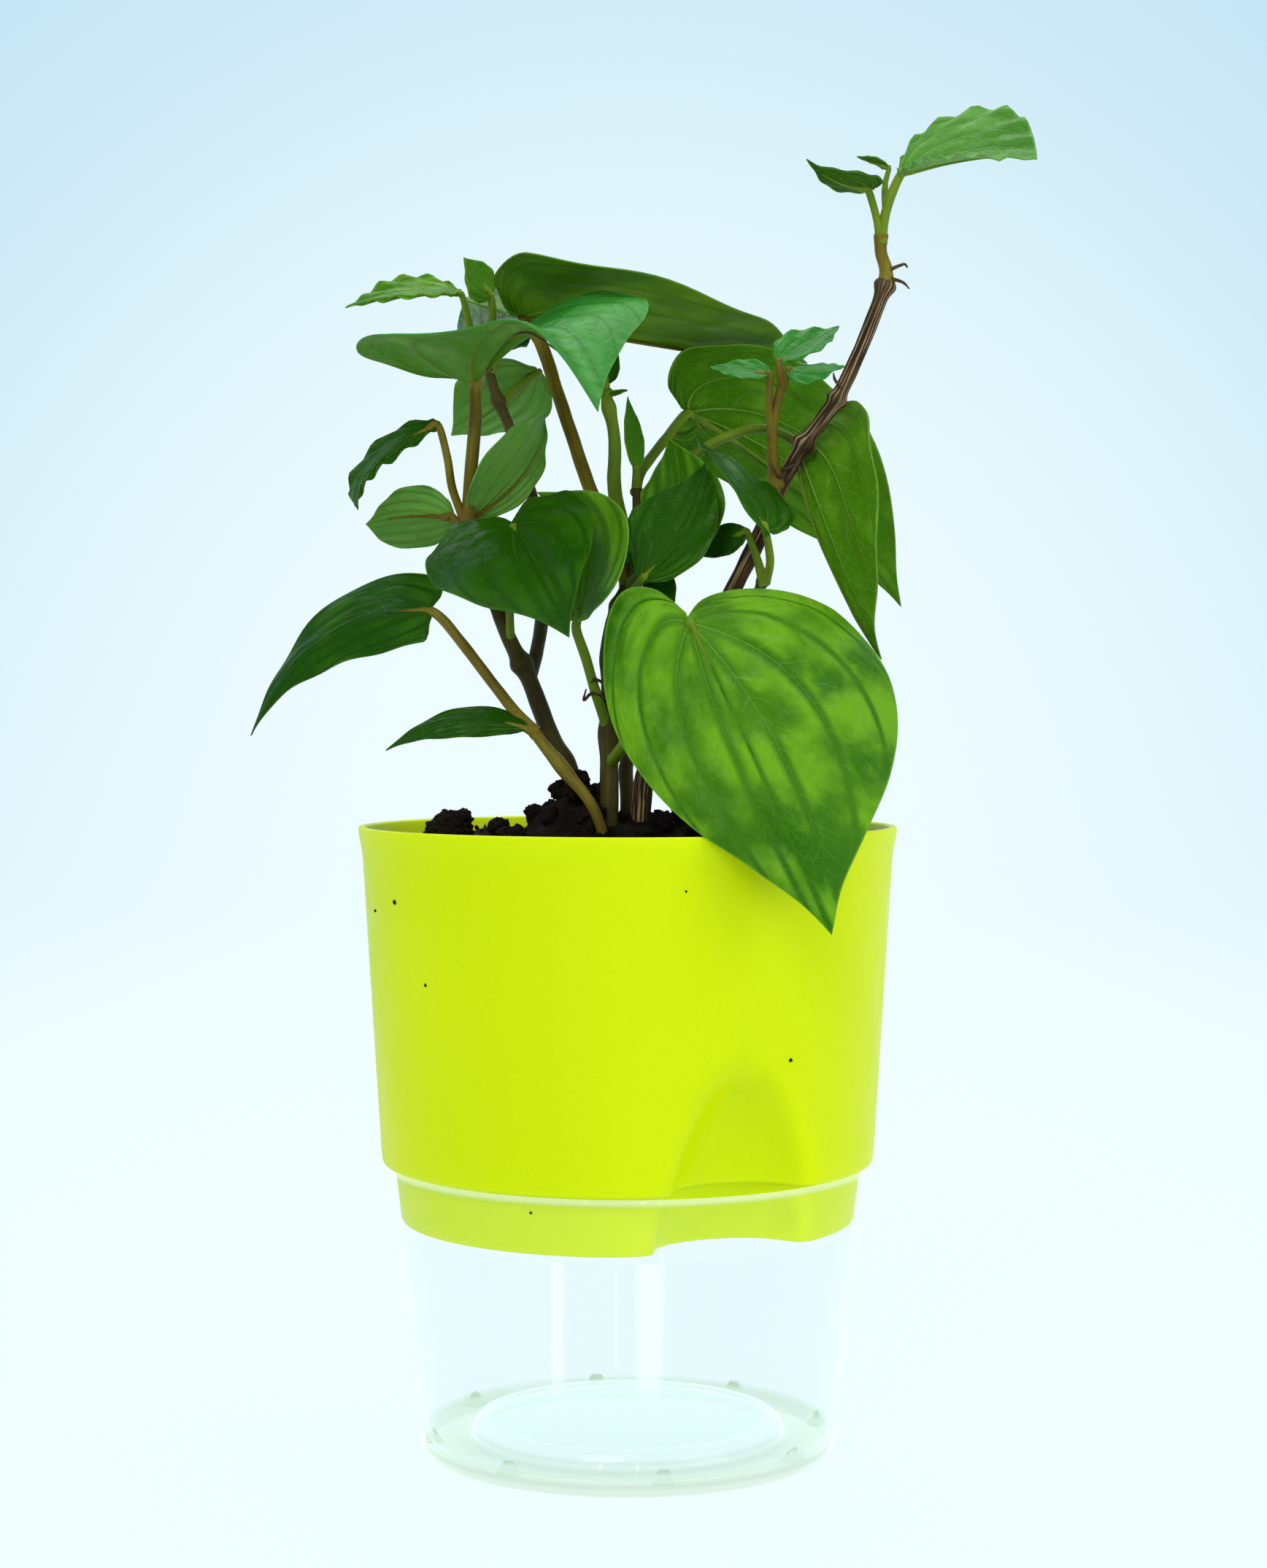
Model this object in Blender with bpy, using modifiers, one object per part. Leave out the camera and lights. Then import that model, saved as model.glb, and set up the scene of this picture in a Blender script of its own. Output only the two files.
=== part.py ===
"""Potted betel plant in a two-piece self-watering pot.

All sizes below are in millimetres and are turned into metres as the meshes are made.
The origin is on the surface that the pot stands on, under the pot's axis; +Z is up and
-Y is the front of the plant.

A clear reservoir stands on the surface. The coloured pot hangs in it by its ledge, with a
skirt reaching down inside and a conical filling groove in its wall. The soil fills the pot,
the stems stand in sockets in the soil, and every leaf (its blade and stalk in one piece)
is saddled on the stem that carries it.
"""

import math
import random

import bmesh
import bpy
from mathutils import Vector

MM = 0.001
GAP = 0.3                    # between two pieces that touch
MERGE = 0.00001              # metres, for welding seams
TURNS = 48                   # segments round the pot

# Reservoir (clear lower bowl)
BASE_R = 45.7
RESERVOIR_TOP_R = 53.7
RESERVOIR_H = 64.0
RESERVOIR_WALL = 1.2
FLOOR_Z = (1.2, 2.8)         # underside and top of the bowl's floor
KICK_R = 32.6                # flat top of the raised disc
KICK_Z = 6.7
TABS = 8
TAB_SIZE = (5.3, 2.6, 3.3)   # width, depth, height
TAB_TURN = math.radians(10)  # the first tab, from the front towards the right

# Pot (coloured upper bowl)
RIM_R = 60.0
RIM_Z = 139.1
LIP_H = 5.0                  # the lip flares over this height
LIP_FLARE = 0.8
LEDGE_R = 54.8
LEDGE_Z = RESERVOIR_H + GAP
SKIRT_TOP_R = 52.0
SKIRT_R = 50.3
SKIRT_Z = 51.5
POT_WALL = 1.8
CAVITY_BEND_Z = 66.0         # where the inside starts to draw in above the ledge
DRAINS = 6
DRAIN_R = 2.5
DRAIN_RING = 30.0
WICK_R = 5.0

# Filling groove: a cone standing in the wall, wide at the skirt's bottom edge
GROOVE_TURN = math.radians(27.5)
GROOVE_APEX = (56.8, 92.0)   # radius from the pot's axis, height
GROOVE_FOOT = (53.0, 48.0)
GROOVE_R = 20.0              # at the foot

# Soil
SOIL_Z = 136.0
SOIL_RINGS = (56.2, 50.0, 43.0, 35.0, 27.0, 18.0, 9.0)
CLODS = (                    # x, y, height above the soil, radius
    (-12.0, -12.0, 12.0, 10.0),
    (-18.0, 2.0, 5.0, 12.0),
    (-2.0, -20.0, 5.0, 12.0),
    (14.0, -8.0, 5.5, 13.0),
    (2.0, 14.0, 4.5, 16.0),
    (-27.0, -30.0, 2.5, 9.0),
    (30.0, 22.0, 3.0, 12.0),
    (-30.0, 30.0, 2.5, 11.0),
    (28.0, -30.0, 2.0, 10.0),
)
LOOSE_CLOD = (-39.0, -20.0, 5.0)  # x, y and radius of the clod lying at the left

# Blade outlines: half of each, from the notch to the tip, along and across the midrib
HEART = ((-0.03, 0.0), (-0.12, 0.14), (-0.15, 0.42), (-0.09, 0.68), (0.05, 0.92),
         (0.22, 1.0), (0.40, 0.92), (0.58, 0.70), (0.74, 0.41), (0.88, 0.15), (1.0, 0.0))
OVATE = ((-0.01, 0.0), (0.0, 0.17), (0.06, 0.50), (0.18, 0.85), (0.36, 1.0),
         (0.55, 0.89), (0.72, 0.60), (0.87, 0.25), (1.0, 0.0))
BLADE_T = 0.6                # thickness of a blade's solid
SMALL_LEAF = 28.0            # blades shorter than this are made with fewer faces
EDGE_STEPS = 40              # steps along half an outline

# Stems: the points of the middle line, the radius at its two ends, what it stands in
STEMS = {
    "woody_vine": (
        ((3, -13, 130), (3, -13, 143), (5, -12, 154), (14, -9, 173), (24, -7, 193),
         (30, -6, 205), (34, -5, 215), (38, -5, 222), (43, -5, 229), (47, -5, 235),
         (52, -5, 246), (57, -5, 259)), (2.5, 1.6), "soil"),
    "crown_shoot": (
        ((57, -5, 257), (57, -5, 262), (56, -4, 266), (56, -4, 270)), (1.4, 1.2),
        "woody_vine"),
    "side_shoot": (
        ((33, -5, 214), (32, -7, 221), (32, -9, 228), (34, -12, 237)), (1.5, 0.8),
        "woody_vine"),
    "middle_stem": (
        ((-4, -16, 130), (-4, -16, 143), (-4, -15, 154), (-4, -14, 168), (-4, -12, 180),
         (-2, -10, 188), (1, -8, 196), (2, -7, 206), (2, -6, 215)), (1.9, 0.9), "soil"),
    "bud_shoot": (
        ((1, -8, 198), (-1, 1, 205), (-3, 6, 215), (-3, 6, 226), (-5, 4, 236)),
        (1.3, 1.1), "middle_stem"),
    "left_stem": (
        ((-10, -4, 130), (-12, -4, 148), (-17, -4, 159), (-22, -4, 172), (-26, -4, 180),
         (-30, -2, 190), (-36, 2, 207)), (2.2, 1.4), "soil"),
    "left_branch": (
        ((-22, -4, 171), (-20, 3, 180), (-19, 13, 192), (-20, 21, 205), (-23, 26, 217),
         (-27, 28, 229), (-31, 27, 239), (-33, 24, 248)), (1.5, 1.1), "left_stem"),
    "front_shoot": (
        ((-3, -25, 130), (-7, -23, 143), (-13, -19, 151), (-18, -17, 157),
         (-21, -16, 161)), (1.2, 1.5), "soil"),
    "back_stem": (
        ((0, -2, 130), (0, -3, 143), (0, -1, 154), (5, 3, 162), (12, 5, 173),
         (21, 2, 182), (27, -6, 188), (30, -13, 194)), (1.6, 1.0), "soil"),
}

# The saddle-shaped leaf bends too much for one rule, so it is spread over ribs instead:
# the halfway point and the end of each rib from the notch to the tip, left side and right.
SADDLE_RIBS = (
    (((-34.4, 2.8, 237.7), (-34.8, 3.5, 237.9)), ((-39, 6, 239.5), (-44, 8, 240)),
     ((-44.5, 3, 240.5), (-54.5, 2, 242)), ((-46.5, -6, 243.5), (-59.5, -10, 244.5)),
     ((-41.5, -16, 243.5), (-51, -28, 245)), ((-33, -20, 243.5), (-35, -36, 244.5)),
     ((-27, -24, 245), (-23.5, -42, 246.5)), ((-22.5, -25, 246), (-13.5, -46, 238)),
     ((-21, -24, 246), (-6, -48, 226.5))),
    (((-34.4, 2.8, 237.7), (-34.8, 3.5, 237.9)), ((-29.5, 6, 244), (-26.5, 10, 247.5)),
     ((-24.5, 3, 248.5), (-16.5, 6, 255)), ((-20.5, -4, 250.5), (-6.5, -3, 257)),
     ((-17, -11, 250), (2, -9, 255.5)), ((-15.5, -16, 249), (4.5, -16, 252)),
     ((-15.5, -21, 248), (1, -26, 245)), ((-18, -24, 246.5), (-4, -38, 235.5)),
     ((-21, -24, 246), (-6, -48, 226.5))),
)

# Leaves. face is the way the upper side looks; widths are half widths (left, right of the
# midrib) in blade lengths; fold lifts each half; arch and sweep bow the midrib; clear
# names the leaves whose stalks are cut out of it where they share a node of the stem.
LEAVES = {
    "front_heart_leaf": dict(
        joint=(13, -42, 183), tip=(41, -68, 120), face=(1, -9, 4), outline=HEART,
        width=(0.32, 0.60), lobes=(1.2, 0.6), fold=(-0.2, -0.3), arch=0.02, cup=-0.3,
        stem="middle_stem", radius=(1.4, 1.1),
        stalk=((-4, -15, 153), (-1, -21, 157), (5, -32, 165), (11, -39, 177))),
    "left_heart_leaf": dict(
        joint=(-25, -14, 205), tip=(-12, -48, 180), face=(-2, -6, 7), outline=HEART,
        width=(0.49, 0.37), lobes=(1.4, 0.9), fold=(0.18, 0.34), arch=0.05, cup=-0.3,
        stem="left_stem", radius=(1.0, 0.8),
        stalk=((-26, -4, 180), (-26, -7, 186), (-26, -9, 194), (-26, -11, 201))),
    "second_heart_leaf": dict(
        joint=(-11, -20, 185), tip=(-20, -6, 213), face=(-6, -7, 2), outline=HEART,
        width=(0.55, 0.50), lobes=(0.3, 0.3), fold=(0.34, 0), arch=-0.1, sweep=-0.19,
        stem="middle_stem", radius=(1.2, 1.0),
        stalk=((-4, -15, 160), (-7, -17, 169), (-9, -18, 176), (-11, -19, 182))),
    "left_drooping_leaf": dict(
        joint=(-44, -5, 187), tip=(-86, 14, 159), face=(-2, -7, 6), outline=HEART,
        width=(0.22, 0.16), lobes=(0.1, 0.1), fold=(-0.1, -0.4), arch=0.08, sweep=-0.14,
        stem="front_shoot", radius=(1.3, 1.1),
        stalk=((-20, -16, 160), (-25, -13, 165), (-29, -11, 170), (-36, -8, 179),
               (-41, -6, 185))),
    "low_narrow_leaf": dict(
        joint=(-22, -17, 161), tip=(-53, -12, 156), face=(-2, -8, 6), outline=OVATE,
        width=(0.14, 0.12), fold=(-0.18, -0.33), arch=0.05, sweep=-0.11,
        stem="front_shoot", radius=(1.4, 1.2), stalk=((-20, -16, 160),),
        clear=("left_drooping_leaf",)),
    "pale_left_leaf": dict(
        joint=(-39, 3, 208), tip=(-58, -4, 206), face=(-4, 8, 5), outline=OVATE,
        width=(0.56, 0.34), fold=(0.41, 0.54), arch=0.15, sweep=-0.02,
        stem="left_stem", radius=(1.0, 0.8), stalk=((-34, 0, 201),),
        clear=("top_saddle_leaf",)),
    "pale_right_leaf": dict(
        joint=(-35, 4, 208), tip=(-19, 15, 232), face=(-7, 7, 2), outline=OVATE,
        width=(0.54, 0.14), fold=(-0.36, -0.32), arch=-0.17, sweep=0.02,
        stem="left_stem", radius=(1.0, 0.8), stalk=((-36, 2, 206),),
        clear=("top_saddle_leaf", "curled_left_leaf")),
    "top_saddle_leaf": dict(
        joint=(-34, 2, 237.5), tip=(-6, -48, 226.5), face=(0, -2, 10), outline=HEART,
        width=(0.58, 0.52), ribs=SADDLE_RIBS,
        stem="left_stem", radius=(1.5, 1.3),
        stalk=((-36, 2, 206), (-35, 1, 218), (-34, 1, 230))),
    "curled_left_leaf": dict(
        joint=(-42, -5, 228), tip=(-58, -22, 208), face=(0, -8, 6), outline=OVATE,
        width=(0.20, 0.08), fold=(-0.20, -0.26), arch=-0.1, sweep=-0.22,
        stem="left_stem", radius=(1.0, 0.8),
        stalk=((-36, 2, 206), (-39, 0, 214), (-40, -3, 221)), clear=("top_saddle_leaf",)),
    "toothed_top_leaf": dict(
        joint=(-38, 18, 260), tip=(-64, 12, 256), face=(0, -5, 9), outline=OVATE,
        width=(0.30, 0.10), fold=(0.15, 0.19), arch=0.05, sweep=-0.01,
        stem="left_branch", radius=(0.9, 0.7),
        stalk=((-33, 24, 247), (-36, 21, 252), (-37, 19, 256))),
    "round_top_leaf": dict(
        joint=(-31, 16, 259), tip=(-37, 10, 267), face=(7, -7, 1), outline=OVATE,
        width=(0.41, 0.45), stem="left_branch", radius=(0.9, 0.7),
        stalk=((-33, 24, 247), (-31, 18, 254)), clear=("toothed_top_leaf",)),
    "dark_back_leaf": dict(
        joint=(-30, 24, 250), tip=(-31, 68, 273), face=(0, -4, 10), outline=HEART,
        width=(0.16, 0.20), lobes=(0.3, 0.3), fold=(-0.2, -0.2), arch=0.05,
        stem="left_branch", radius=(1.0, 0.8), stalk=((-32, 26, 243), (-30, 26, 248)),
        clear=("toothed_top_leaf", "round_top_leaf")),
    "hanging_back_leaf": dict(
        joint=(-21, 33, 244), tip=(-42, 42, 230), face=(-3, 6, 8), outline=OVATE,
        width=(0.55, 0.55), fold=(0.1, 0.1), arch=-0.05,
        stem="left_branch", radius=(0.9, 0.8), stalk=((-29, 28, 235), (-27, 30, 239)),
        clear=("dark_back_leaf",)),
    "long_top_leaf": dict(
        joint=(-24, 21, 255), tip=(43, 50, 248), face=(0, 2, 10), outline=HEART,
        width=(0.48, 0.25), lobes=(0.5, 1.3), fold=(0.04, 0.66), arch=-0.06, sweep=-0.11,
        stem="middle_stem", radius=(1.6, 1.4),
        stalk=((0, -9, 192), (-2, -5, 199), (-6, 0, 208), (-9, 5, 216), (-12, 9, 225),
               (-16, 14, 237), (-20, 19, 249))),
    "back_right_leaf": dict(
        joint=(14, 28, 234), tip=(67, 64, 190), face=(1, 7, 7), outline=HEART,
        width=(0.32, 0.16), lobes=(0.8, -0.5), fold=(0.25, 0.11), arch=0.01, sweep=-0.06,
        stem="middle_stem", radius=(1.2, 1.1),
        stalk=((2, -6, 213), (3, 2, 218), (9, 14, 227))),
    "right_drooping_leaf": dict(
        joint=(38, 5, 225), tip=(56, -8, 176), face=(9, 4, 2), outline=HEART,
        width=(0.37, 0.29), lobes=(0.4, 0.6), fold=(0.5, 0.6), arch=-0.15, sweep=-0.15,
        stem="middle_stem", radius=(1.2, 1.1),
        stalk=((2, -6, 208), (7, 0, 213), (13, 2, 220), (20, 2, 225), (30, 4, 228))),
    "dark_middle_leaf": dict(
        joint=(3, -24, 193), tip=(17, -12, 219), face=(-1, -9, 5), outline=OVATE,
        width=(0.26, 0.35), fold=(0.19, 0.23), sweep=-0.08,
        stem="middle_stem", radius=(1.1, 0.9),
        stalk=((-3, -11, 183), (-1, -16, 187), (1, -20, 190))),
    "small_dark_leaf": dict(
        joint=(5, -18, 195), tip=(10, -22, 186), face=(-2, -9, -2), outline=OVATE,
        width=(0.35, 0.35), stem="middle_stem", radius=(0.8, 0.7),
        stalk=((0, -9, 192), (3, -14, 195)), clear=("long_top_leaf",)),
    "bright_middle_leaf": dict(
        joint=(7, -11, 198), tip=(9, -4, 225), face=(-3, -9, 3), outline=OVATE,
        width=(0.46, 0.31), fold=(0.21, 0.08), sweep=-0.09,
        stem="middle_stem", radius=(0.9, 0.7), stalk=((1, -8, 198),)),
    "spear_leaf": dict(
        joint=(2, -7, 218), tip=(0, -7, 234), face=(4, -9, 0), outline=OVATE,
        width=(0.15, 0.15), stem="middle_stem", radius=(0.8, 0.7),
        stalk=((2, -6, 214),)),
    "twisted_leaf": dict(
        joint=(30, -20, 204), tip=(15, -4, 225), face=(6, -3, 7), outline=HEART,
        width=(0.45, 0.25), lobes=(0.4, 0.4), fold=(0.2, 0.2), arch=0.05, sweep=0.1,
        stem="back_stem", radius=(1.0, 0.8),
        stalk=((30, -13, 193), (31, -16, 197))),
    "bitten_leaf": dict(
        joint=(26, -12, 204), tip=(13, -8, 199), face=(-1, -9, 3), outline=OVATE,
        width=(0.25, 0.25), stem="back_stem", radius=(0.9, 0.7),
        stalk=((30, -13, 192), (28, -12, 199)), clear=("twisted_leaf",)),
    "twin_upper_leaf": dict(
        joint=(33, -11, 241), tip=(45, -2, 247), face=(-3, -7, 6), outline=OVATE,
        width=(0.3, 0.3), fold=(0.3, 0.3), stem="side_shoot", radius=(0.8, 0.7),
        stalk=((34, -12, 236),)),
    "twin_right_leaf": dict(
        joint=(35, -14, 239), tip=(46, -20, 239), face=(0, -6, 8), outline=OVATE,
        width=(0.35, 0.35), fold=(-0.3, -0.3), stem="side_shoot", radius=(0.8, 0.7),
        stalk=((34, -12, 236),), clear=("twin_upper_leaf",)),
    "twin_left_leaf": dict(
        joint=(31, -14, 238), tip=(20, -10, 239), face=(0, -6, 8), outline=OVATE,
        width=(0.3, 0.3), fold=(0.2, 0.2), stem="side_shoot", radius=(0.8, 0.7),
        stalk=((32, -8, 224), (31, -11, 231))),
    "bud_leaf": dict(
        joint=(-5, 4, 238), tip=(-2, 4, 245), face=(1, -9, 1), outline=OVATE,
        width=(0.25, 0.25), stem="bud_shoot", radius=(0.8, 0.7),
        stalk=((-5, 4, 235),)),
    "curled_bud_leaf": dict(
        joint=(-4, 3, 236), tip=(0, 0, 236), face=(0, -6, 8), outline=OVATE,
        width=(0.3, 0.3), fold=(-0.4, -0.4), stem="bud_shoot", radius=(0.7, 0.6),
        stalk=((-5, 4, 235),), clear=("bud_leaf",)),
    "crown_left_leaf": dict(
        joint=(53, -5, 280), tip=(39, -12, 285), face=(2, 2, 10), outline=HEART,
        width=(0.30, 0.34), fold=(0, 0.3), arch=-0.1,
        stem="crown_shoot", radius=(0.8, 0.7),
        stalk=((56, -4, 268), (55, -5, 273)), clear=("crown_right_leaf",)),
    "crown_right_leaf": dict(
        joint=(60, -6, 283), tip=(87, -28, 282), face=(-3, -4, 9), outline=OVATE,
        width=(0.40, 0.40), fold=(0.36, 0.5), sweep=0.16,
        stem="crown_shoot", radius=(1.1, 1.0),
        stalk=((56, -4, 268), (57, -5, 275))),
    "crown_young_leaf": dict(
        joint=(58, -2, 285), tip=(51, 1, 288), face=(0, 3, 9), outline=OVATE,
        width=(0.25, 0.25), fold=(0.3, 0.3), stem="crown_shoot", radius=(0.6, 0.5),
        stalk=((57, -5, 276), (57, -2, 281)), clear=("crown_right_leaf",)),
}


def point(place):
    """A place in millimetres as a vector in metres."""
    return Vector(place) * MM


def collection(name):
    made = bpy.data.collections.new(name)
    bpy.context.scene.collection.children.link(made)
    return made


def finish(name, colour, roughness, alpha=1.0):
    """A Principled material."""
    material = bpy.data.materials.new(name)
    material.use_nodes = True
    shader = material.node_tree.nodes["Principled BSDF"]
    shader.inputs["Base Color"].default_value = (*colour, 1.0)
    shader.inputs["Roughness"].default_value = roughness
    shader.inputs["Alpha"].default_value = alpha
    return material


def add(name, mesh, home, material=None):
    made = bpy.data.objects.new(name, mesh)
    home.objects.link(made)
    if material:
        mesh.materials.append(material)
    return made


def as_cutter(made):
    made.hide_render = True
    made.display_type = "WIRE"
    return made


def boolean(made, other, operation, use_self=False):
    modifier = made.modifiers.new(f"{operation.lower()} {other.name}", "BOOLEAN")
    modifier.operation = operation
    modifier.solver = "EXACT"
    modifier.use_self = use_self
    modifier.object = other


def frozen(made, home, name):
    """A new object whose mesh is the evaluated one of made, welded; made is removed."""
    bpy.context.view_layer.update()
    graph = bpy.context.evaluated_depsgraph_get()
    mesh = bpy.data.meshes.new_from_object(made.evaluated_get(graph))
    bm = bmesh.new()
    bm.from_mesh(mesh)
    bmesh.ops.remove_doubles(bm, verts=bm.verts, dist=MERGE)
    bm.to_mesh(mesh)
    bm.free()
    place = made.matrix_world.copy()
    bpy.data.objects.remove(made)
    solid = add(name, mesh, home)
    solid.matrix_world = place
    return solid


def whole(made, home):
    """made with its modifiers applied and only its largest closed body kept."""
    name = made.name
    made.name = name + " draft"
    materials = [slot.material for slot in made.material_slots]
    solid = frozen(made, home, name)
    solid.data.materials.clear()
    for material in materials:
        solid.data.materials.append(material)
    bm = bmesh.new()
    bm.from_mesh(solid.data)
    left = set(bm.faces)
    bodies = []
    while left:
        body, front = [], [left.pop()]
        while front:
            face = front.pop()
            body.append(face)
            near = {other for edge in face.edges if len(edge.link_faces) == 2
                    for other in edge.link_faces} & left
            left -= near
            front.extend(near)
        bodies.append(body)
    bodies.sort(key=len)
    for body in bodies[:-1]:
        bmesh.ops.delete(bm, geom=body, context="FACES")
    bm.to_mesh(solid.data)
    bm.free()
    return solid


def turned(name, profile, home, material=None):
    """A solid of revolution about +Z from (radius, height) points, top to bottom."""
    mesh = bpy.data.meshes.new(name)
    mesh.from_pydata([point((r, 0, z)) for r, z in profile],
                     [(i, i + 1) for i in range(len(profile) - 1)], [])
    made = add(name, mesh, home, material)
    screw = made.modifiers.new("turn", "SCREW")
    screw.axis = "Z"
    screw.steps = TURNS
    screw.render_steps = TURNS
    screw.use_merge_vertices = True
    screw.merge_threshold = MERGE
    screw.use_smooth_shade = False
    return made


def spline(points, count):
    """count + 1 points along a Catmull-Rom curve through the given ones."""
    found = []
    last = len(points) - 1
    for step in range(count + 1):
        at = step / count * last
        i = min(int(at), last - 1)
        u = at - i
        a, b = Vector(points[max(i - 1, 0)]), Vector(points[i])
        c, d = Vector(points[i + 1]), Vector(points[min(i + 2, last)])
        found.append(0.5 * (2 * b + (c - a) * u + (2 * a - 5 * b + 4 * c - d) * u ** 2
                            + (3 * b - a - 3 * c + d) * u ** 3))
    return found


def tube(name, points, radii, home, sides_level, grow=0.0):
    """A tapering stalk as a closed mesh."""
    data = bpy.data.curves.new(name, "CURVE")
    data.dimensions = "3D"
    data.bevel_depth = MM
    data.bevel_resolution = sides_level
    data.use_fill_caps = True
    path = spline(points, max(2, 2 * (len(points) - 1)))
    run = data.splines.new("POLY")
    run.points.add(len(path) - 1)
    for i, place in enumerate(path):
        run.points[i].co = (*(place * MM), 1.0)
        share = i / (len(path) - 1)
        run.points[i].radius = radii[0] + (radii[1] - radii[0]) * share + grow
    made = add(name + " route", data, home)
    return frozen(made, home, name)


def cone(name, extra, home):
    """The filling groove's cone, grown outwards by extra."""
    turn = GROOVE_TURN
    out = Vector((math.sin(turn), -math.cos(turn), 0))
    apex = out * GROOVE_APEX[0] + Vector((0, 0, GROOVE_APEX[1]))
    foot = out * GROOVE_FOOT[0] + Vector((0, 0, GROOVE_FOOT[1]))
    grow = (GROOVE_R + extra) / GROOVE_R
    apex = foot + (apex - foot) * grow
    bpy.ops.mesh.primitive_cone_add(
        vertices=32, radius1=(GROOVE_R + extra) * MM, radius2=0.2 * MM,
        depth=(apex - foot).length * MM, location=(apex + foot) / 2 * MM,
        rotation=(apex - foot).to_track_quat("Z", "Y").to_euler())
    return primitive(name, home)


def primitive(name, home):
    """The object that an add operator has just made, named and put in its collection."""
    made = bpy.context.object
    made.name = name
    made.data.name = name
    for other in made.users_collection:
        other.objects.unlink(made)
    home.objects.link(made)
    return made


def reservoir(parts, cutters, material):
    under, floor = FLOOR_Z
    wall = RESERVOIR_WALL
    foot = BASE_R - 2.2
    made = turned("reservoir", (
        (0, KICK_Z), (KICK_R, KICK_Z), (KICK_R + 1.8, floor), (foot - 0.6, floor),
        (BASE_R - wall + 0.2, floor + 1.0), (RESERVOIR_TOP_R - wall, RESERVOIR_H),
        (RESERVOIR_TOP_R, RESERVOIR_H), (BASE_R + 0.4, 1.2), (BASE_R, 0),
        (foot, 0), (foot - 0.4, under), (KICK_R + 2.6, under),
        (KICK_R + 1.0, KICK_Z - 1.5), (0, KICK_Z - 1.5)), parts, material)
    for number in range(TABS):
        boolean(made, tab(number, cutters), "UNION")
    return made


def tab(number, cutters):
    """One of the small ramps standing in the corner of the reservoir's floor."""
    wide, deep, high = TAB_SIZE
    turn = TAB_TURN + number * math.tau / TABS
    bm = bmesh.new()
    bmesh.ops.create_cube(bm, size=1.0)
    for vert in bm.verts:
        top = vert.co.z > 0
        vert.co.x *= wide * (0.45 if top else 1.0) * MM
        inner = vert.co.y > 0
        vert.co.y = (deep if inner and not top else 0.6 if inner else -0.6) * MM
        vert.co.z = (high if top else -0.5) * MM
    mesh = bpy.data.meshes.new(f"tab {number}")
    bm.to_mesh(mesh)
    bm.free()
    made = as_cutter(add(mesh.name, mesh, cutters))
    out = Vector((math.sin(turn), -math.cos(turn), 0)) * (BASE_R - RESERVOIR_WALL)
    made.location = point((out.x, out.y, FLOOR_Z[1]))
    made.rotation_euler.z = turn
    return made


def cavity_profile(clear, top):
    """The inside of the pot from height top down, drawn in by clear."""
    inset = POT_WALL + clear
    slope = (RIM_R - LIP_FLARE - LEDGE_R) / (RIM_Z - CAVITY_BEND_Z)
    return ((0, top), (LEDGE_R - inset + slope * (top - CAVITY_BEND_Z), top),
            (LEDGE_R - inset, CAVITY_BEND_Z), (SKIRT_TOP_R - inset, LEDGE_Z - POT_WALL),
            (SKIRT_R - inset, SKIRT_Z + inset), (0, SKIRT_Z + inset))


def pot(parts, cutters, material):
    made = turned("pot", (
        (0, RIM_Z), (RIM_R, RIM_Z), (RIM_R - LIP_FLARE, RIM_Z - LIP_H),
        (LEDGE_R + 0.1, LEDGE_Z + 2.5), (LEDGE_R - 0.6, LEDGE_Z),
        (SKIRT_TOP_R, LEDGE_Z), (SKIRT_R, SKIRT_Z), (0, SKIRT_Z)), parts, material)
    cavity = as_cutter(turned("pot cavity", cavity_profile(0, RIM_Z + 4), cutters))
    boolean(cavity, as_cutter(cone("groove shell", POT_WALL, cutters)), "DIFFERENCE")
    boolean(made, as_cutter(cone("groove", 0, cutters)), "DIFFERENCE")
    boolean(made, cavity, "DIFFERENCE")
    holes = [(0, 0, WICK_R)]
    for number in range(DRAINS):
        turn = math.tau * number / DRAINS
        holes.append((DRAIN_RING * math.sin(turn), DRAIN_RING * math.cos(turn), DRAIN_R))
    for number, (x, y, radius) in enumerate(holes):
        bpy.ops.mesh.primitive_cylinder_add(
            vertices=16, radius=radius * MM, depth=4 * POT_WALL * MM,
            location=point((x, y, SKIRT_Z + POT_WALL / 2)))
        boolean(made, as_cutter(primitive(f"drain {number}", cutters)), "DIFFERENCE")
    return made


def soil_height(x, y):
    """Height of the soil's surface above its level, from its mounds and grain."""
    high = 0.5 * math.sin(0.31 * x + 1.0) * math.cos(0.27 * y)
    high += 0.4 * math.sin(0.9 * x + 0.6 * y) * math.cos(0.7 * y - 0.5 * x)
    for cx, cy, top, radius in CLODS:
        high += top * math.exp(-((x - cx) ** 2 + (y - cy) ** 2) / (0.5 * radius ** 2))
    return high


def soil(parts, cutters, material, stems):
    side = cavity_profile(GAP, SOIL_Z)
    rings = [(0, SOIL_Z)] + [(r, SOIL_Z) for r in reversed(SOIL_RINGS)]
    body = turned("soil body", tuple(rings) + side[1:], cutters)
    made = frozen(body, parts, "soil")
    made.data.materials.append(material)
    for vert in made.data.vertices:
        x, y, z = vert.co / MM
        if z > SOIL_Z - 0.01 and math.hypot(x, y) < SOIL_RINGS[0] + 0.1:
            vert.co.z += soil_height(x, y) * MM
    boolean(made, as_cutter(cone("groove in soil", POT_WALL + GAP, cutters)),
            "DIFFERENCE")
    for cutter in stems:
        boolean(made, cutter, "DIFFERENCE")
    return made


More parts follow.
